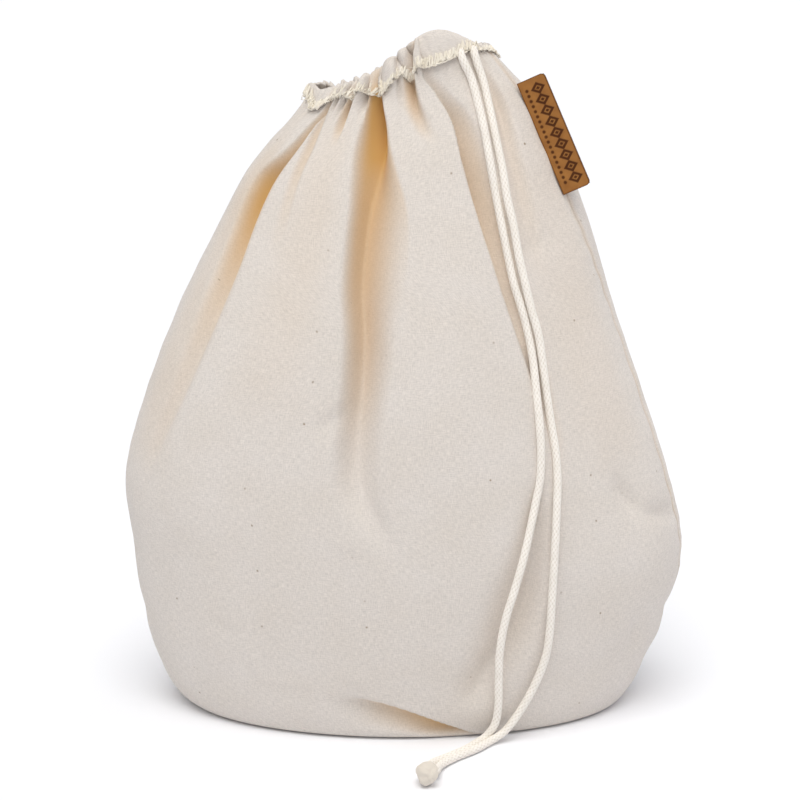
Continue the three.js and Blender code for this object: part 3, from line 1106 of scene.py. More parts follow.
@dataclass(frozen=True)
class TannedLeather(Finish):
    """Vegetable-tanned leather: a satin face of fine grain, darker where it is burnt.

    Attributes:
        light: Its lighter shade.
        deep: Its deeper shade.
        burnt: Colour of the burnt parts.
        grain: Size of the grain.
        cloud: Size of the clouds of each shade.
        relief: Depth of the grain.
        gloss: Least and greatest roughness.
    """

    name: str = "vegetable_tanned_leather"
    light: str = "#b47e42"
    deep: str = "#7e4e26"
    burnt: str = "#401a02"
    grain: float = 0.7
    cloud: float = 5.0
    relief: float = 0.12
    gloss: tuple[float, float] = (0.5, 0.68)

    def surface(self, tree: Any) -> Any:
        """Adds the nodes of the finish.

        Args:
            tree: The material's node tree.

        Returns:
            The socket that has its surface.
        """
        face = add_node(tree, "ShaderNodeUVMap", {"uv_map": "face"}).outputs["UV"]
        cloud = add_node(tree, "ShaderNodeTexNoise", Vector=face, Scale=1.0 / (self.cloud * MM), Detail=5.0)
        tone = add_node(
            tree, "ShaderNodeMix", {"data_type": "RGBA"},
            s0=cloud.outputs["Fac"], s6=hex_linear(self.light), s7=hex_linear(self.deep),
        )
        burn = add_node(tree, "ShaderNodeAttribute", {"attribute_name": "burn"})
        coloured = add_node(
            tree, "ShaderNodeMix", {"data_type": "RGBA"},
            s0=burn.outputs["Fac"], s6=tone.outputs[2], s7=hex_linear(self.burnt),
        )
        pores = add_node(
            tree, "ShaderNodeTexVoronoi", {"feature": "DISTANCE_TO_EDGE"},
            Vector=face, Scale=1.0 / (self.grain * MM),
        )
        bump = add_node(
            tree, "ShaderNodeBump", Height=pores.outputs["Distance"],
            Strength=0.25, Distance=self.relief * MM,
        )
        gloss = add_node(
            tree, "ShaderNodeMapRange", Value=cloud.outputs["Fac"],
            To_Min=self.gloss[0], To_Max=self.gloss[1],
        )
        body = add_node(
            tree, "ShaderNodeBsdfPrincipled", Base_Color=coloured.outputs[2],
            Roughness=gloss.outputs["Result"], Normal=bump.outputs["Normal"], Specular_IOR_Level=0.16,
        )
        return body.outputs["BSDF"]


@dataclass(frozen=True)
class PaleFloor(Finish):
    """Matt white paper of a studio floor."""

    name: str = "studio_paper"
    white: str = "#fafbff"

    def surface(self, tree: Any) -> Any:
        """Adds the nodes of the finish.

        Args:
            tree: The material's node tree.

        Returns:
            The socket that has its surface.
        """
        body = add_node(
            tree, "ShaderNodeBsdfPrincipled", Base_Color=hex_linear(self.white), Roughness=0.9,
            Specular_IOR_Level=0.1,
        )
        return body.outputs["BSDF"]


def mesh_object(name: str, points: Array, faces: Array, material: Any) -> Any:
    """A smooth mesh from arrays, linked to the scene.

    Args:
        name: Name of the piece.
        points: Its points, in millimetres.
        faces: Its four-sided faces.
        material: Its material.

    Returns:
        The new object.
    """
    mesh = bpy.data.meshes.new(name)
    mesh.from_pydata((points * MM).tolist(), [], faces.tolist())
    mesh.polygons.foreach_set("use_smooth", np.ones(len(mesh.polygons), dtype=bool))
    mesh.materials.append(material)
    mesh.update()
    piece = bpy.data.objects.new(name, mesh)
    bpy.context.scene.collection.objects.link(piece)
    return piece


def select_only(piece: Any) -> None:
    """Makes a piece the only selected and the active one."""
    bpy.ops.object.select_all(action="DESELECT")
    piece.select_set(True)
    bpy.context.view_layer.objects.active = piece


def apply_modifier(piece: Any, kind: str, name: str, **settings: Any) -> None:
    """Adds a modifier to a piece and applies it.

    Args:
        piece: The piece.
        kind: Blender's name of the modifier.
        name: Name given to it.
        settings: Its settings.
    """
    select_only(piece)
    modifier = piece.modifiers.new(name, kind)
    for key, value in settings.items():
        setattr(modifier, key, value)
    bpy.ops.object.modifier_apply(modifier=name)


def add_point_values(piece: Any, name: str, values: Array) -> None:
    """Stores a number for each point of a piece.

    Args:
        piece: The piece.
        name: Name of the attribute.
        values: One number for each point.
    """
    attribute = piece.data.attributes.new(name, "FLOAT", "POINT")
    attribute.data.foreach_set("value", np.ascontiguousarray(values, dtype=np.float32))


def add_uv(piece: Any, name: str, places: Array) -> None:
    """Gives a piece one UV map, from a place for each point.

    Args:
        piece: The piece.
        name: Name of the map.
        places: Two numbers for each point.
    """
    mesh = piece.data
    while mesh.uv_layers:
        mesh.uv_layers.remove(mesh.uv_layers[0])
    corners = np.empty(len(mesh.loops), dtype=np.int32)
    mesh.loops.foreach_get("vertex_index", corners)
    layer = mesh.uv_layers.new(name=name)
    layer.data.foreach_set("uv", np.ascontiguousarray(places[corners], dtype=np.float32).ravel())


def grid_piece(name: str, columns: int, rows: int, material: Any) -> tuple[Any, Array, Array]:
    """A flat grid to be shaped, with the place of each of its points.

    Args:
        name: Name of the piece.
        columns: Faces across.
        rows: Faces down.
        material: Its material.

    Returns:
        The piece, and the column and row of each of its points.
    """
    bpy.ops.object.select_all(action="DESELECT")
    bpy.ops.mesh.primitive_grid_add(x_subdivisions=columns, y_subdivisions=rows, size=1.0)
    piece = bpy.context.active_object
    piece.name = name
    piece.data.name = name
    piece.data.materials.append(material)
    flat = np.empty(3 * len(piece.data.vertices))
    piece.data.vertices.foreach_get("co", flat)
    flat = flat.reshape(-1, 3)
    column = np.rint((flat[:, 0] + 0.5) * columns).astype(int)
    row = np.rint((0.5 - flat[:, 1]) * rows).astype(int)
    return piece, column, row


def lengths_along(points: Array, axis: int) -> Array:
    """Length from the first point on, along one axis of a grid of points.

    Args:
        points: The grid of points.
        axis: Its axis, 0 or 1.

    Returns:
        The lengths, in the grid's shape.
    """
    steps = np.linalg.norm(np.diff(points, axis=axis), axis=-1)
    start = np.zeros_like(np.take(steps, [0], axis=axis))
    return np.concatenate([start, np.cumsum(steps, axis=axis)], axis=axis)


def point_at(where: Any, marks: Array, line: Array) -> Array:
    """Points of a line at some marks, straight between its own points.

    Args:
        where: The marks that are wanted.
        marks: The mark of each point of the line, rising.
        line: Points of the line.

    Returns:
        The points.
    """
    return np.stack([np.interp(where, marks, line[:, k]) for k in range(3)], axis=-1)


@dataclass
class Seam:
    """Side seam of the bag: the cloth rolls in to the sewing, which draws it into puckers.

    Attributes:
        roll: How far the cloth rolls in.
        reach: Distance from the sewing at which that ends.
        calm: Heights between which it gets weaker.
        pucker: Height of the puckers.
        pitch: Distance between puckers.
        spread: Distance from the sewing over which they fade.
        notch_z: Height of the notch in the outline.
        notch: Depth of the notch.
        notch_height: Distance up and down over which it fades.
        notch_spread: Distance from the sewing over which it fades.
        shade: Strength of the painted shade beside the sewing, where the rolled-in edge turns from the
            light.
        painted_shade_reach: Distance from the sewing at which the painted shade ends.
        calmed: Share of the roll that is lost over the calm heights.
        wander: How unevenly the puckers are spaced.
        wander_length: Length over which their spacing changes.
        foot: Heights between which all of this sets in.
        phases: Shift of the puckers at the left and at the right seam.
    """

    roll: float = 0.9
    reach: float = 3.0
    calm: tuple[float, float] = (150.0, 195.0)
    pucker: float = 0.22
    pitch: float = 13.0
    spread: float = 8.0
    notch_z: float = 40.0
    notch: float = 1.9
    notch_height: float = 5.5
    notch_spread: float = 14.0
    shade: float = 0.2
    painted_shade_reach: float = 2.6
    calmed: float = 0.7
    wander: float = 2.4
    wander_length: float = 17.0
    foot: tuple[float, float] = (2.0, 9.0)
    phases: tuple[float, float] = (0.4, 2.1)

    def push(self, away: Array, height: Array, phase: float) -> Array:
        """How far the cloth beside the seam lies out.

        Args:
            away: Distance from the seam.
            height: Height over the surface.
            phase: Shifts the puckers, so that the two seams differ.

        Returns:
            The push, negative inwards.
        """
        turns = 2.0 * math.pi * height / self.pitch + phase
        wave = np.sin(turns + self.wander * np.sin(height / self.wander_length + phase))
        puckers = self.pucker * wave * np.exp(-((away / self.spread) ** 2))
        up = (height - self.notch_z) / self.notch_height
        notch = np.exp(-(up**2) - (away / self.notch_spread) ** 2)
        rolled = self.roll * (1.0 - smooth(away, 0.0, self.reach))
        rolled = rolled * (1.0 - self.calmed * smooth(height, *self.calm))
        return smooth(height, *self.foot) * (puckers - self.notch * notch - rolled)


@dataclass
class ClothPanel:
    """One cut panel of the bag with its turned hem, as a thin sheet on the folds of its solid.

    Attributes:
        name: Name of the piece.
        node: Node of the solid that it stands for.
        side: Which panel it is.
        columns: Faces across.
        hem_rows: Rows of points of the turned hem.
        body_rows: First station, last station and rows of each stretch of the body.
        flat: Width and height of the flat cut, in metres; not used.
        thickness: Thickness of the cloth.
        evening: How much closer the columns lie in the middle.
        gap: Half the gap between the panels.
        seam: Its side seams.
        piece: The piece, once it is built.
        hem_points: Points of the turned hem, once it is built.
        hem_out: Their outward directions.
    """

    name: str
    node: str
    side: Side
    columns: int
    hem_rows: int
    body_rows: tuple[tuple[float, float, int], ...]
    flat: tuple[float, float]
    thickness: float = 0.5
    evening: float = 0.18
    gap: float = 0.08
    seam: Seam = field(default_factory=Seam)
    piece: Any = None
    hem_points: Array | None = None
    hem_out: Array | None = None

    def stations(self) -> Array:
        """Stations of the body's rows, from the rim to the bottom seam."""
        runs = [np.linspace(start, stop, count, endpoint=False) for start, stop, count in self.body_rows]
        return np.append(np.concatenate(runs), float(LAST_LEVEL))

    def bearings(self, form: BagForm, station: Array) -> Array:
        """Bearings of the panel's columns in rows of stations.

        Args:
            form: The bag's surface.
            station: Stations, one for each point of the grid.

        Returns:
            Bearings in degrees.
        """
        share = np.linspace(0.0, 1.0, self.columns + 1)
        evened = share + self.evening / math.pi * np.sin(2.0 * math.pi * share)
        return self.side.start + 180.0 * evened[None, :] - form.level("turn", station)

    def build(self, form: BagForm, material: Any) -> Any:
        """Shapes the sheet.

        Args:
            form: The bag's surface.
            material: Its material.

        Returns:
            The piece.
        """
        body = np.repeat(self.stations()[:, None], self.columns + 1, axis=1)
        climb = np.linspace(0.0, 1.0, self.hem_rows)[:, None]
        hem = form.hem
        edge = form.hem_edge(self.bearings(form, np.full((1, self.columns + 1), hem.level)))
        turned = (1.0 - climb) * edge
        off = hem.gap + hem.belly * np.sin(math.pi * climb) + hem.flare * (1.0 - climb) ** 4
        station = np.concatenate([turned, body])
        lift = np.concatenate([np.broadcast_to(off, turned.shape), np.zeros_like(body)])
        bearing = self.bearings(form, station)
        points, out, depth = form.cloth(bearing, station, lift)
        plain = form.filled(bearing, station)
        across = lengths_along(plain, 1)
        first, last = across, across[:, -1:] - across
        left, right = (first, last) if self.side is Side.FRONT else (last, first)
        for away, phase in zip((left, right), self.seam.phases):
            points = points + out * self.seam.push(away, plain[..., 2], phase)[..., None]
            # Painted shade beside the sewing, where the rolled-in edge turns from the light.
            shade = self.seam.shade * (1.0 - smooth(away, 0.0, self.seam.painted_shade_reach))
            depth = np.maximum(depth, shade)
        points[..., 1] += self.gap * self.side.way
        points[..., 2] = np.maximum(points[..., 2], 0.0)
        self.hem_points = points[: self.hem_rows]
        self.hem_out = out[: self.hem_rows]
        self.piece, column, row = grid_piece(self.name, self.columns, len(station) - 1, material)
        self.piece.data.vertices.foreach_set("co", (points[row, column] * MM).ravel())
        wide = lengths_along(points, 1)
        wide = wide - wide[:, [self.columns // 2]]
        tall = np.broadcast_to(lengths_along(points, 0)[:, [self.columns // 2]], wide.shape)
        add_uv(self.piece, "cloth", np.stack([wide, -tall], axis=-1)[row, column] * MM)
        # Stores each point's share of painted shade for the cloth's colour.
        add_point_values(self.piece, "painted_fold_shade", depth[row, column])
        self.piece.data.update()
        if self.outward() < 0.0:
            self.piece.data.flip_normals()
        thickness = self.thickness * MM
        apply_modifier(self.piece, "SOLIDIFY", "cloth_thickness", thickness=thickness, offset=-1.0)
        select_only(self.piece)
        bpy.ops.object.shade_smooth()
        return self.piece

    def outward(self) -> float:
        """Positive where the sheet's faces point away from the middle of the bag."""
        mesh = self.piece.data
        normals = np.empty(3 * len(mesh.polygons))
        centres = np.empty(3 * len(mesh.polygons))
        mesh.polygons.foreach_get("normal", normals)
        mesh.polygons.foreach_get("center", centres)
        centres = centres.reshape(-1, 3) - np.array(BAG_MIDDLE)
        return float(np.median(np.sum(normals.reshape(-1, 3) * centres, axis=1)))

    def dress(self, sewn: Sequence[Any]) -> None:
        """Ties the sheet to the frame.

        Args:
            sewn: The pieces sewn on it; not used.
        """
        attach(self.piece, BODY)
        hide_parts(self.node)


def path_frames(line: Array) -> tuple[Array, Array]:
    """Two directions across a line at each of its points, which don't twist about it.

    Args:
        line: Points of the line.

    Returns:
        Both directions.
    """
    tangents = unit(np.gradient(line, axis=0))
    start = np.array([1.0, 0.0, 0.0]) if abs(tangents[0, 0]) < 0.8 else np.array([0.0, 1.0, 0.0])
    first = np.empty_like(line)
    before = start
    for i, tangent in enumerate(tangents):
        before = before - tangent * float(before @ tangent)
        before = before / np.linalg.norm(before)
        first[i] = before
    return first, np.cross(tangents, first)


def tube(line: Array, radius: Array, closed: bool = False) -> tuple[Array, Array]:
    """A tube round a line.

    Args:
        line: Points of the line.
        radius: Radius by point of the line and corner of the section.
        closed: True where the line's end meets its start.

    Returns:
        Points and four-sided faces.
    """
    sides = radius.shape[1]
    first, second = path_frames(line)
    angle = np.linspace(0.0, 2.0 * math.pi, sides, endpoint=False)
    ring = first[:, None] * np.cos(angle)[None, :, None] + second[:, None] * np.sin(angle)[None, :, None]
    points = line[:, None] + ring * radius[..., None]
    count = len(line)
    i, j = np.meshgrid(np.arange(count if closed else count - 1), np.arange(sides), indexing="ij")
    here, after = i * sides, (i + 1) % count * sides
    turn = (j + 1) % sides
    faces = np.stack([here + j, here + turn, after + turn, after + j], axis=-1).reshape(-1, 4)
    points = points.reshape(-1, 3)
    if not closed:
        half = sides // 2
        k = np.arange(half - 1)
        low = np.stack([k, k + 1, sides - 2 - k, sides - 1 - k], axis=-1)
        faces = np.concatenate([faces, low[:, ::-1], low + (count - 1) * sides])
    return points, faces


SPAN_STEPS = 40  # points of a curve from one given point to the next
FEWEST_STEPS = 8  # of a whole curve


def blend(at: Array, start: float, stop: float, first: Array, last: Array) -> Array:
    """Points between two others.

    Args:
        at: Where the points are wanted.
        start: Where the first point is.
        stop: Where the last point is.
        first: The first point.
        last: The last point.

    Returns:
        The points on the way.
    """
    return ((stop - at) * first + (at - start) * last) / (stop - start)


def smooth_route(points: Array, spacing: float) -> Array:
    """Smooth curve through points, at an even spacing.

    Args:
        points: The points of the route.
        spacing: Length between two points of the curve.

    Returns:
        Points of the curve.
    """
    ends = np.concatenate([[2.0 * points[0] - points[1]], points, [2.0 * points[-1] - points[-2]]])
    apart = np.linalg.norm(np.diff(ends, axis=0), axis=1)
    knots = np.concatenate([[0.0], np.cumsum(apart**0.5)])
    pieces = []
    for i in range(1, len(ends) - 2):
        t = np.linspace(knots[i], knots[i + 1], SPAN_STEPS, endpoint=False)[:, None]
        a = [blend(t, knots[j - 1], knots[j], ends[j - 1], ends[j]) for j in (i, i + 1, i + 2)]
        b = [blend(t, knots[i + k - 1], knots[i + k + 1], a[k], a[k + 1]) for k in (0, 1)]
        pieces.append(blend(t, knots[i], knots[i + 1], b[0], b[1]))
    fine = np.concatenate([*pieces, points[-1:]])
    length = lengths_along(fine, 0)
    even = np.linspace(0.0, length[-1], max(int(length[-1] / spacing), FEWEST_STEPS) + 1)
    return point_at(even, length, fine)


@dataclass(frozen=True)
class Braid:
    """Braid of a round cord: strands in both directions, each over and under the others.

    Attributes:
        diameter: Diameter of the cord.
        strands: Strands in each direction.
        plait: Half the distance along the cord from one strand to the next.
        relief: Depth between strands.
        sides: Corners of the cord's section.
        spacing: Distance between sections.
        fuzz: How far the strands stand out over the diameter.
        falls: How much a strand falls across itself and along itself.
        shade: How narrow the painted shade between strands is.
    """

    diameter: float = 3.0
    strands: int = 6
    plait: float = 1.15
    relief: float = 0.28
    sides: int = 36
    spacing: float = 0.4
    fuzz: float = 0.05
    falls: tuple[float, float] = (0.75, 0.45)
    shade: float = 1.5

    def surface(self, line: Array, radius: float) -> tuple[Array, Array]:
        """Radius of the braid round a line.

        Args:
            line: Evenly spaced points of the line.
            radius: Radius at the top of the strands.

        Returns:
            The radius by point and corner, and how deep each lies between strands, from 0 to 1.
        """
        length = lengths_along(line, 0)[:, None]
        share = np.arange(self.sides)[None, :] / self.sides
        right = self.strands * share + length / (2.0 * self.plait)
        left = self.strands * share - length / (2.0 * self.plait)
        over = (np.floor(right) + np.floor(left)) % 2 == 0
        right_off = 2.0 * (right % 1.0) - 1.0
        left_off = 2.0 * (left % 1.0) - 1.0
        across = np.where(over, right_off, left_off)
        onward = np.where(over, left_off, right_off)
        low = np.clip(self.falls[0] * across**2 + self.falls[1] * onward**2, 0.0, 1.0)
        return radius - self.relief * low, low


@dataclass
class Drawstring:
    """One free end of the drawstring, from the casing down the front and over the surface to the knot.

    Attributes:
        name: Name of the piece.
        node: Node of the solid that it stands for.
        route: Points of its middle line.
        braid: Its braid.
        piece: The piece, once it is built.
        line: Its middle line at an even spacing, once it is built.
    """

    name: str
    node: str
    route: tuple[Three, ...]
    braid: Braid = Braid()
    piece: Any = None
    line: Array | None = None

    def build(self, material: Any) -> Any:
        """Braids the cord along its route.

        Args:
            material: Its material.

        Returns:
            The piece.
        """
        self.line = smooth_route(np.array(self.route), self.braid.spacing)
        radius, low = self.braid.surface(self.line, self.braid.diameter / 2.0 + self.braid.fuzz)
        points, faces = tube(self.line, radius)
        self.piece = mesh_object(self.name, points, faces, material)
        # Painted shade between the strands, from how deep each point lies.
        add_point_values(self.piece, "painted_strand_shade", low.ravel() ** self.braid.shade)
        return self.piece

    def dress(self, on_it: Sequence[Any]) -> None:
        """Ties the cord to the frame.

        Args:
            on_it: The pieces on the cord; not used.
        """
        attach(self.piece, BODY)
        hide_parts(self.node)


@dataclass
class Knot:
    """The overhand knot that ties the cord ends together.

    Attributes:
        name: Name of the piece.
        node: Node of the solid that it stands for.
        at: Its middle.
        loop: Size of its loops.
        rise: How far the strand passes before and behind itself.
        strand: Radius of the strand.
        core: Radius and half height of the core that fills it.
        pole: Angle that is left out at the core's ends, in radians.
        steps: Points of the strand.
        core_steps: Points up the core and round it.
        braid: Braid of the strand.
        voxel: Size of the cells in which strand and core become one.
        softening: Rounds of smoothing.
        shade: Share of the painted shade between strands that lies over the whole knot, from 0 to 1.
        piece: The piece, once it is built.
    """

    name: str = "drawstring_knot_tied"
    node: str = "drawstring_knot"
    at: Three = (9.7, -87.0, 4.7)
    loop: float = 0.64
    rise: float = 1.8
    strand: float = 2.5
    core: tuple[float, float] = (3.6, 4.4)
    pole: float = 0.1
    steps: int = 180
    core_steps: int = 40
    braid: Braid = Braid(plait=1.4, relief=0.4, sides=30)
    voxel: float = 0.24
    softening: int = 14
    shade: float = 0.9
    piece: Any = None

    def build(self, material: Any) -> Any:
        """Winds the strand into a knot and draws it tight.

        Args:
            material: Its material.

        Returns:
            The piece.
        """
        t = np.linspace(0.0, 2.0 * math.pi, self.steps, endpoint=False)
        x = self.loop * (np.sin(t) + 2.0 * np.sin(2.0 * t))
        y = self.loop * (np.cos(t) - 2.0 * np.cos(2.0 * t))
        z = -self.rise * np.sin(3.0 * t)
        line = np.stack([x, z, y], axis=-1) + np.array(self.at)
        radius, _ = self.braid.surface(line, self.strand)
        points, faces = tube(line, radius, closed=True)
        up = -np.cos(np.linspace(self.pole, math.pi - self.pole, self.core_steps))
        middle = np.array(self.at) + np.outer(up, (0.0, 0.0, self.core[1]))
        girth = np.repeat(self.core[0] * np.sqrt(1.0 - up * up)[:, None], self.core_steps, axis=1)
        inside, inner_faces = tube(middle, girth)
        faces = np.concatenate([faces, inner_faces + len(points)])
        points = np.concatenate([points, inside])
        self.piece = mesh_object(self.name, points, faces, material)
        apply_modifier(self.piece, "REMESH", "drawn_tight", mode="VOXEL", voxel_size=self.voxel * MM)
        apply_modifier(self.piece, "SMOOTH", "soft_yarn", factor=0.5, iterations=self.softening)
        # The whole knot is coloured with the cord's painted shade between strands.
        add_point_values(self.piece, "painted_strand_shade", np.full(len(self.piece.data.vertices), self.shade))
        select_only(self.piece)
        bpy.ops.object.shade_smooth()
        return self.piece

    def dress(self) -> None:
        """Ties the knot to the frame."""
        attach(self.piece, BODY)
        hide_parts(self.node)


@dataclass
class CasingOverlock:
    """Overlock sewing along the casing's lower edge, with its frayed yarn ends.

    Attributes:
        name: Name of the piece.
        seed: Seed of the random draws.
        stitch: Length of a stitch.
        hairs: Count of frayed yarn ends.
        widths: Height of each row of stitches.
        over_edge: Least and greatest reach over the edge.
        jitter: How far a point of the thread is off its place.
        thread: Radius of the thread.
        edge_thread: Radius of the thread along the edge.
        edge_drop: How far that thread lies under the edge.
        hair: Radius of a frayed end.
        hair_reach: Least and greatest length of a frayed end.
        hair_bends: How much a frayed end turns at its start and further on.
        uneven: How uneven the stitches are.
        spacings: Distance between points of the stitches and of the thread along the edge.
        off: How far the sewing lies off the hem's face.
        tallest: Greatest share of the hem's height that it takes.
        probe: Distance up the hem that tells which way is down.
        piece: The piece, once it is built.
    """

    name: str
    seed: int
    stitch: float
    hairs: int
    widths: tuple[float, float] = (3.6, 2.0)
    over_edge: tuple[float, float] = (0.1, 0.7)
    jitter: float = 0.22
    thread: float = 0.26
    edge_thread: float = 0.34
    edge_drop: float = 0.35
    hair: float = 0.09
    hair_reach: tuple[float, float] = (0.8, 2.6)
    hair_bends: tuple[float, float] = (0.7, 0.6)
    uneven: float = 0.3
    spacings: tuple[float, float] = (0.6, 0.5)
    off: float = 0.75
    tallest: float = 0.85
    probe: float = 1.5
    piece: Any = None

    def line_on_hem(self, panel: ClothPanel, height: float) -> Array:
        """Line a little off the hem, this far up from its edge where the hem is tall enough.

        Args:
            panel: The panel whose hem is sewn.
            height: Distance from the edge.

        Returns:
            One point for each column of the panel.
        """
        rows = lengths_along(panel.hem_points, 0)
        face = panel.hem_points + self.off * panel.hem_out
        line = []
        for column in range(rows.shape[1]):
            up = min(height, self.tallest * rows[-1, column])
            line.append(point_at(up, rows[:, column], face[:, column]))
        return np.array(line)

    def strands(self, panel: ClothPanel) -> list[tuple[Array, float]]:
        """Lines of the threads.

        Args:
            panel: The panel whose hem is sewn.

        Returns:
            Each line with its thread's radius.
        """
        rng = np.random.default_rng(self.seed)
        low = self.line_on_hem(panel, 0.0)
        drop = unit(low - self.line_on_hem(panel, self.probe))
        total = lengths_along(low, 0)
        count = 2 * int(total[-1] / self.stitch) + 1
        columns = np.arange(len(low))
        lines = []
        for width in self.widths:
            where = np.linspace(0.0, total[-1], count)
            where = where + rng.normal(0.0, self.uneven * self.stitch, count)
            share = np.interp(where, total, columns)
            high = self.line_on_hem(panel, width)
            edge, upper, down = (point_at(share, columns, line) for line in (low, high, drop))
            beyond = rng.uniform(*self.over_edge, (count, 1))
            short = rng.normal(0.0, self.uneven, (count, 1))
            at_edge = (np.arange(count) % 2 == 0)[:, None]
            zigzag = np.where(at_edge, edge + beyond * down, upper + short * down)
            zigzag = zigzag + rng.normal(0.0, self.jitter, zigzag.shape)
            lines.append((smooth_route(zigzag, self.spacings[0]), self.thread))
        wobble = edge + self.edge_drop * down + rng.normal(0.0, self.jitter, edge.shape)
        lines.append((smooth_route(wobble, self.spacings[1]), self.edge_thread))
        for spot in rng.integers(2, count - 2, self.hairs):
            way = unit(down[spot] + rng.normal(0.0, self.hair_bends[0], 3))
            bend = unit(way + rng.normal(0.0, self.hair_bends[1], 3))
            reach = rng.uniform(*self.hair_reach)
            stops = (0.0 * way, 0.4 * way, 0.7 * unit(way + bend), bend)
            lines.append((edge[spot] + reach * np.array(stops), self.hair))
        return lines

    def build(self, panel: ClothPanel, material: Any) -> Any:
        """Sews the edge.

        Args:
            panel: The panel whose hem is sewn.
            material: The thread's material.

        Returns:
            The piece.
        """
        meshes = []
        for line, radius in self.strands(panel):
            sides = 4 if radius == self.hair else 6
            meshes.append(tube(line, np.full((len(line), sides), radius)))
        starts = np.cumsum([0] + [len(points) for points, _ in meshes])
        points = np.concatenate([points for points, _ in meshes])
        faces = np.concatenate([faces + start for (_, faces), start in zip(meshes, starts)])
        self.piece = mesh_object(self.name, points, faces, material)
        return self.piece

    def dress(self) -> None:
        """Ties the sewing to the frame."""
        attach(self.piece, BODY)


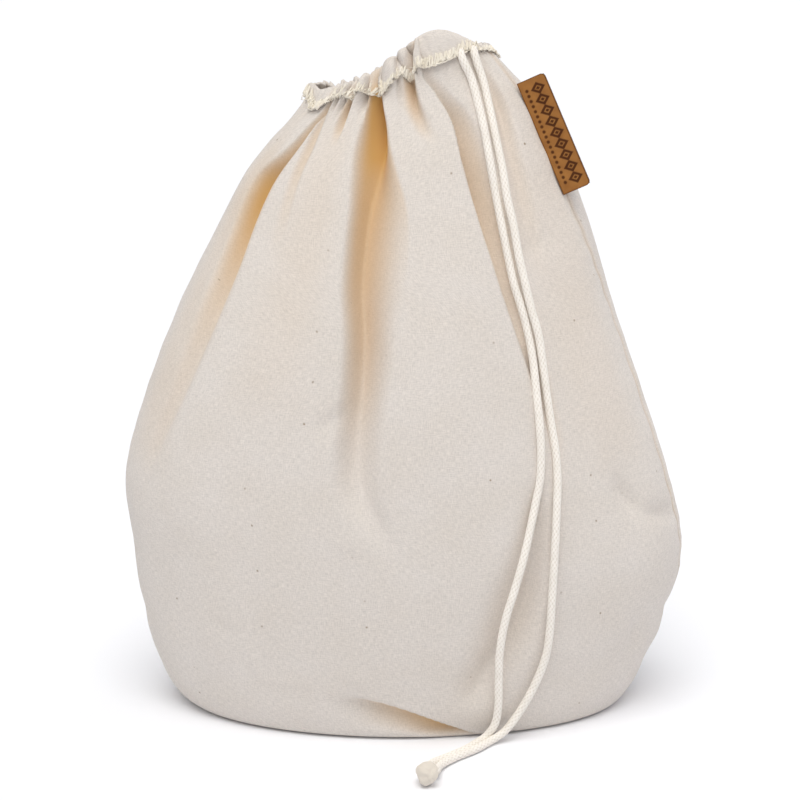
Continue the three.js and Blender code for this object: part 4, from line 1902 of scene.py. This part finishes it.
@dataclass
class SideLabel:
    """Leather label held in the right seam, with a burnt chain of lozenges and a row of dots.

    Attributes:
        name: Name of the piece.
        node: Node of the solid that it stands for.
        length: Its length along the seam.
        width: Its width out of the seam.
        thickness: Thickness of the leather.
        corner: Radius of its outer corners.
        seam_from: Station of the seam at its top.
        seam_to: Station of the seam at its foot.
        off: How far it stands out of the seam.
        forward: How far it lies to the front.
        swing: How much it is turned to the front.
        turn: Degrees that it is tipped in its own plane.
        slip: How far it is moved up the seam.
        cell: Size of a face of its mesh.
        chain: Distance of the lozenges from the seam.
        lozenge: Half the width and half the height of a lozenge.
        lozenges: Count of the lozenges.
        pitch: Distance between lozenges.
        dots: Distance of the dots from the seam.
        dot: Radius of a dot.
        dot_edge: Shares of that radius between which a dot ends.
        dot_pitch: Distance between dots.
        dots_a_side: Dots above the middle one, and below it.
        burns: How burnt the rim, the lozenges and the dots are.
        rim: Width of the burnt rim.
        ring: Size of a lozenge's ring, and the shares off it between which it ends.
        heart: Shares of a lozenge between which its heart ends.
        recess: How deep the burnt parts lie.
        plain_edge: Distance from the long edges in which nothing is sunk.
        worn: Width of the worn edge.
        piece: The piece, once it is built.
    """

    name: str = "side_label_leather"
    node: str = "side_label"
    length: float = 44.0
    width: float = 10.8
    thickness: float = 1.4
    corner: float = 1.6
    seam_from: float = 1.7
    seam_to: float = 3.6
    off: float = 0.1
    forward: float = 1.8
    swing: float = 0.25
    turn: float = -1.8
    slip: float = -1.0
    cell: float = 0.22
    chain: float = 6.7
    lozenge: tuple[float, float] = (2.7, 2.2)
    lozenges: int = 9
    pitch: float = 4.4
    dots: float = 2.4
    dot: float = 0.62
    dot_edge: tuple[float, float] = (0.7, 1.3)
    dot_pitch: float = 2.0
    dots_a_side: int = 9
    burns: Three = (0.75, 0.9, 0.85)
    rim: float = 0.55
    ring: Three = (0.78, 0.22, 0.32)
    heart: tuple[float, float] = (0.24, 0.36)
    recess: float = 0.16
    plain_edge: float = 0.6
    worn: float = 0.2
    piece: Any = None

    def place(self, form: BagForm) -> tuple[Array, Array, Array, Array]:
        """Where the label is held.

        Args:
            form: The bag's surface.

        Returns:
            Its middle at the seam, and the directions out of the seam, up the label and out of its face.
        """
        top, foot = form.seam(self.seam_from), form.seam(self.seam_to)
        up = unit(top - foot)
        aside = np.array([1.0, -self.swing, 0.0])
        out = unit(aside - up * float(aside @ up))
        facing = np.cross(out, up)
        middle = (top + foot) / 2.0 + out * self.off + facing * self.forward + up * self.slip
        cos, sin = math.cos(math.radians(self.turn)), math.sin(math.radians(self.turn))
        return middle, out * cos + up * sin, up * cos - out * sin, facing

    def ornament(self, u: Array, v: Array) -> Array:
        """How burnt the face is.

        Args:
            u: Millimetres from the seam.
            v: Millimetres up from the middle.

        Returns:
            Shares from 0 to 1.
        """
        inside = np.minimum(np.minimum(u, self.width - u), self.length / 2.0 - np.abs(v))
        rim = 1.0 - smooth(inside, 0.0, self.rim)
        span = (self.lozenges - 1) * self.pitch / 2.0
        near = np.clip(np.rint((v + span) / self.pitch), 0, self.lozenges - 1) * self.pitch - span
        size = np.abs(u - self.chain) / self.lozenge[0] + np.abs(v - near) / self.lozenge[1]
        ring = 1.0 - smooth(np.abs(size - self.ring[0]), self.ring[1], self.ring[2])
        heart = 1.0 - smooth(size, *self.heart)
        row = np.clip(np.rint(v / self.dot_pitch), -self.dots_a_side, self.dots_a_side) * self.dot_pitch
        dots = 1.0 - smooth(np.hypot(u - self.dots, v - row) / self.dot, *self.dot_edge)
        at_rim, in_chain, in_dots = self.burns
        return np.maximum.reduce([at_rim * rim, in_chain * ring, in_chain * heart, in_dots * dots])

    def build(self, form: BagForm, material: Any) -> Any:
        """Cuts, burns and places the label.

        Args:
            form: The bag's surface.
            material: Its material.

        Returns:
            The piece.
        """
        columns, rows = int(self.width / self.cell), int(self.length / self.cell)
        self.piece, column, row = grid_piece(self.name, columns, rows, material)
        u = column / columns * self.width
        v = (0.5 - row / rows) * self.length
        burn = self.ornament(u, v)
        turned_u, turned_v = self.rounded(u, v)
        middle, out, up, facing = self.place(form)
        sunk = burn * (np.minimum(u, self.width - u) > self.plain_edge)
        face = self.thickness / 2.0 - self.recess * sunk
        points = middle + turned_u[:, None] * out + turned_v[:, None] * up + face[:, None] * facing
        self.piece.data.vertices.foreach_set("co", (points * MM).ravel())
        add_uv(self.piece, "face", np.stack([u, v], axis=-1) * MM)
        add_point_values(self.piece, "burn", burn)
        self.piece.data.update()
        if float(np.array(self.piece.data.polygons[0].normal) @ facing) < 0.0:
            self.piece.data.flip_normals()
        thickness = self.thickness * MM
        apply_modifier(self.piece, "SOLIDIFY", "leather_thickness", thickness=thickness, offset=-1.0)
        apply_modifier(
            self.piece, "BEVEL", "worn_edge",
            width=self.worn * MM, segments=2, limit_method="ANGLE", angle_limit=0.9,
        )
        select_only(self.piece)
        bpy.ops.object.shade_smooth_by_angle(angle=0.7)
        return self.piece

    def rounded(self, u: Array, v: Array) -> tuple[Array, Array]:
        """Pulls the two outer corners of the label round.

        Args:
            u: Millimetres from the seam.
            v: Millimetres up from the middle.

        Returns:
            The new places.
        """
        centre_u = self.width - self.corner
        centre_v = self.length / 2.0 - self.corner
        du = np.maximum(u - centre_u, 0.0)
        dv = np.maximum(np.abs(v) - centre_v, 0.0)
        square = np.maximum(du, dv)
        shrink = np.where(square > 0.0, square / np.maximum(np.hypot(du, dv), 1e-9), 1.0)
        corner = (du > 0.0) & (dv > 0.0)
        new_u = np.where(corner, centre_u + du * shrink, u)
        new_v = np.where(corner, np.sign(v) * (centre_v + dv * shrink), v)
        return new_u, new_v

    def dress(self) -> None:
        """Ties the label to the frame."""
        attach(self.piece, BODY)
        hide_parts(self.node)


@dataclass
class Studio:
    """Pale floor, soft light from above and in front, and the camera.

    Attributes:
        lens: Focal length of the camera.
        elevation: Degrees that it looks down.
        distance: Its distance from what it looks at, in metres.
        aim: What it looks at.
        floor: Width of the floor, in metres.
        gap: How far the floor lies under the bag, in metres.
        air: Light of the air from below and from above.
        suns: Wide lights: name, direction to the light, strength, width in degrees and colour.
        beam_from: Direction to the light on the mouth of the bag.
        beam_on: Middle of its beam.
        beam_away: Its distance from there, in metres.
        beam_power: Its power, in watts.
        beam_width: Width of its beam, in degrees.
        beam_size: Size of the light, in metres.
    """

    lens: float = 100.0
    elevation: float = 15.0
    distance: float = 0.8534
    aim: Three = (0.0, 0.0, 0.1204)
    floor: float = 14.0
    gap: float = 0.0001
    air: tuple[float, float] = (0.09, 0.78)
    suns: tuple[tuple[str, Three, float, float, str], ...] = (
        ("key_light", (-0.05, -0.42, 1.0), 1.64, 40.0, "#fffefb"),
        ("left_light", (-1.0, -0.2, 0.2), 0.12, 60.0, "#f4f6ff"),
        ("right_light", (1.0, 0.35, 0.3), 0.46, 60.0, "#f8f6ff"),
    )
    beam_from: Three = (-0.08, -1.0, 0.6)
    beam_on: Three = (0.02, -0.02, 0.215)
    beam_away: float = 0.9
    beam_power: float = 6.8
    beam_width: float = 23.0
    beam_size: float = 0.2

    def build(self) -> None:
        """Sets up the floor, the air, the lights and the camera."""
        bpy.ops.object.select_all(action="DESELECT")
        bpy.ops.mesh.primitive_plane_add(size=self.floor, location=(0.0, 0.0, -self.gap))
        ground = bpy.context.active_object
        ground.name = "studio_floor"
        ground.data.materials.append(PaleFloor().material())
        scene = bpy.context.scene
        scene.view_settings.view_transform = "Standard"
        scene.view_settings.look = "None"
        self.fill_air()
        for name, toward, strength, spread, colour in self.suns:
            self.lamp(name, "SUN", toward, strength, colour, angle=math.radians(spread))
        beam = self.lamp(
            "top_light", "SPOT", self.beam_from, self.beam_power, "#fff2e0",
            spot_size=math.radians(self.beam_width), spot_blend=1.0, shadow_soft_size=self.beam_size,
        )
        beam.location = Vector(self.beam_on) + Vector(self.beam_from).normalized() * self.beam_away
        camera = bpy.data.objects.new("camera", bpy.data.cameras.new("camera"))
        camera.data.lens = self.lens
        camera.data.clip_start = 0.05
        scene.collection.objects.link(camera)
        tip = math.radians(self.elevation)
        back = Vector((0.0, -math.cos(tip), math.sin(tip)))
        camera.location = Vector(self.aim) + back * self.distance
        camera.rotation_euler = (-back).to_track_quat("-Z", "Y").to_euler()
        scene.camera = camera

    def fill_air(self) -> None:
        """Lights the air, more from above than from below."""
        world = bpy.data.worlds.new("studio_air")
        world.use_nodes = True
        tree = world.node_tree
        sky = add_node(tree, "ShaderNodeTexCoord").outputs["Generated"]
        above = add_node(tree, "ShaderNodeSeparateXYZ", Vector=sky)
        softbox = add_node(
            tree, "ShaderNodeMapRange", Value=above.outputs["Z"], To_Min=self.air[0], To_Max=self.air[1]
        )
        background = tree.nodes["Background"]
        background.inputs["Color"].default_value = hex_linear("#ffffff")
        tree.links.new(softbox.outputs["Result"], background.inputs["Strength"])
        bpy.context.scene.world = world

    def lamp(
        self, name: str, kind: str, toward: Three, strength: float, colour: str, **settings: float
    ) -> Any:
        """Adds a light.

        Args:
            name: Name of the light.
            kind: Blender's name of its kind.
            toward: Direction from the bag to the light.
            strength: Its strength, or its power in watts.
            colour: Its colour.
            settings: Its other settings.

        Returns:
            The new object.
        """
        light = bpy.data.lights.new(name, kind)
        light.energy = strength
        light.color = hex_linear(colour)[:3]
        for key, value in settings.items():
            setattr(light, key, value)
        lamp = bpy.data.objects.new(name, light)
        lamp.rotation_euler = Vector(toward).to_track_quat("Z", "Y").to_euler()
        bpy.context.scene.collection.objects.link(lamp)
        return lamp


LEFT_ROUTE = (
    (21.4, -13.6, 256.4), (22.1, -16.0, 253.8), (23.6, -16.9, 250.2), (25.6, -17.1, 246.1),
    (28.2, -20.3, 237.1), (30.4, -24.7, 227.8), (32.4, -28.5, 217.2), (34.7, -30.6, 204.5),
    (37.0, -33.3, 193.1), (39.1, -34.8, 183.0), (41.4, -37.0, 173.1), (43.9, -38.1, 165.3),
    (45.8, -38.7, 158.4), (48.0, -40.7, 147.9), (49.5, -44.1, 135.2), (50.9, -47.1, 121.6),
    (51.4, -48.1, 110.1), (50.9, -48.7, 101.7), (49.6, -49.7, 94.9), (47.5, -51.7, 84.6),
    (45.1, -53.5, 73.9), (42.0, -54.4, 62.4), (38.8, -54.2, 50.6), (37.0, -53.1, 38.0),
    (36.8, -51.3, 25.6), (36.8, -49.9, 15.5), (35.6, -48.9, 7.2), (32.4, -49.4, 2.7),
    (28.4, -53.6, 1.7), (24.6, -59.0, 1.7), (15.4, -68.0, 1.7), (11.7, -73.1, 2.4),
    (9.9, -79.0, 3.2), (9.6, -81.9, 3.8),
)
RIGHT_ROUTE = (
    (26.5, -11.6, 255.9), (27.0, -13.5, 254.0), (28.0, -14.4, 250.6), (29.9, -15.6, 245.3),
    (32.3, -19.6, 235.7), (34.8, -24.9, 224.2), (36.9, -28.2, 214.6), (38.7, -31.1, 204.1),
    (40.9, -33.2, 194.9), (42.8, -35.2, 184.3), (45.0, -36.9, 175.0), (47.3, -38.2, 165.7),
    (50.1, -39.3, 156.0), (51.5, -40.2, 147.6), (53.3, -41.8, 134.6), (55.4, -43.7, 121.4),
    (56.9, -45.2, 112.3), (57.6, -47.0, 102.3), (57.4, -48.8, 93.4), (57.1, -50.2, 84.2),
    (56.7, -51.0, 73.0), (56.1, -50.8, 57.4), (55.6, -49.8, 45.0), (54.4, -48.8, 34.8),
    (51.8, -47.8, 26.0), (48.2, -47.3, 17.6), (43.6, -47.6, 9.6), (39.2, -49.0, 4.4),
    (34.6, -51.2, 2.0), (28.3, -58.7, 1.7), (19.8, -66.9, 1.7), (15.7, -72.3, 1.9),
    (13.8, -76.8, 2.3), (13.5, -80.5, 3.2), (13.1, -82.9, 3.7),
)
FLAT_CUT = (0.255, 0.335)  # width and height of a panel before sewing, in metres
SEWING = {Side.FRONT: (1.0, 160), Side.BACK: (1.6, 60)}  # length of a stitch, count of frayed ends
FIRST_SEED = 11  # of the front's random draws


def main() -> None:
    """Builds and dresses the bag piece by piece."""
    Studio().build()
    log.info("studio")
    form = BagForm()
    log.info("folds: %s", ", ".join(fold.name for fold in FOLDS))
    cord_yarn = BraidedCotton("braided_cotton_cord").material()
    thread = BraidedCotton("cotton_sewing_thread", pale="#f6f0e4", deep="#e2d4b8").material()
    muslin = Muslin().material()
    knot = Knot()
    knot.build(cord_yarn)
    knot.dress()
    log.info("%s", knot.name)
    ends = (
        (Drawstring("drawstring_left_braid", "drawstring_left", LEFT_ROUTE), [knot.piece]),
        (Drawstring("drawstring_right_braid", "drawstring_right", RIGHT_ROUTE), []),
    )
    for cord, on_it in ends:
        cord.build(cord_yarn)
        cord.dress(on_it)
        log.info("%s", cord.name)
    panels = (
        ClothPanel(
            "front_cloth", "front_panel", Side.FRONT, columns=216, hem_rows=15,
            body_rows=((0.0, 2.0, 50), (2.0, 6.0, 70), (6.0, 12.0, 66), (12.0, 14.0, 8)), flat=FLAT_CUT,
        ),
        ClothPanel(
            "back_cloth", "back_panel", Side.BACK, columns=160, hem_rows=12,
            body_rows=((0.0, 2.0, 36), (2.0, 6.0, 46), (6.0, 12.0, 40), (12.0, 14.0, 6)), flat=FLAT_CUT,
        ),
    )
    for seed, panel in enumerate(panels, start=FIRST_SEED):
        panel.build(form, muslin)
        stitch, hairs = SEWING[panel.side]
        sewing = CasingOverlock(f"casing_overlock_{panel.side.name.lower()}", seed, stitch, hairs)
        sewing.build(panel, thread)
        sewing.dress()
        panel.dress([sewing.piece])
        log.info("%s with %s", panel.name, sewing.name)
    label = SideLabel()
    label.build(form, TannedLeather().material())
    label.dress()
    log.info("%s", label.name)


if __name__ == "__main__":
    logging.basicConfig(level=logging.INFO)
    main()
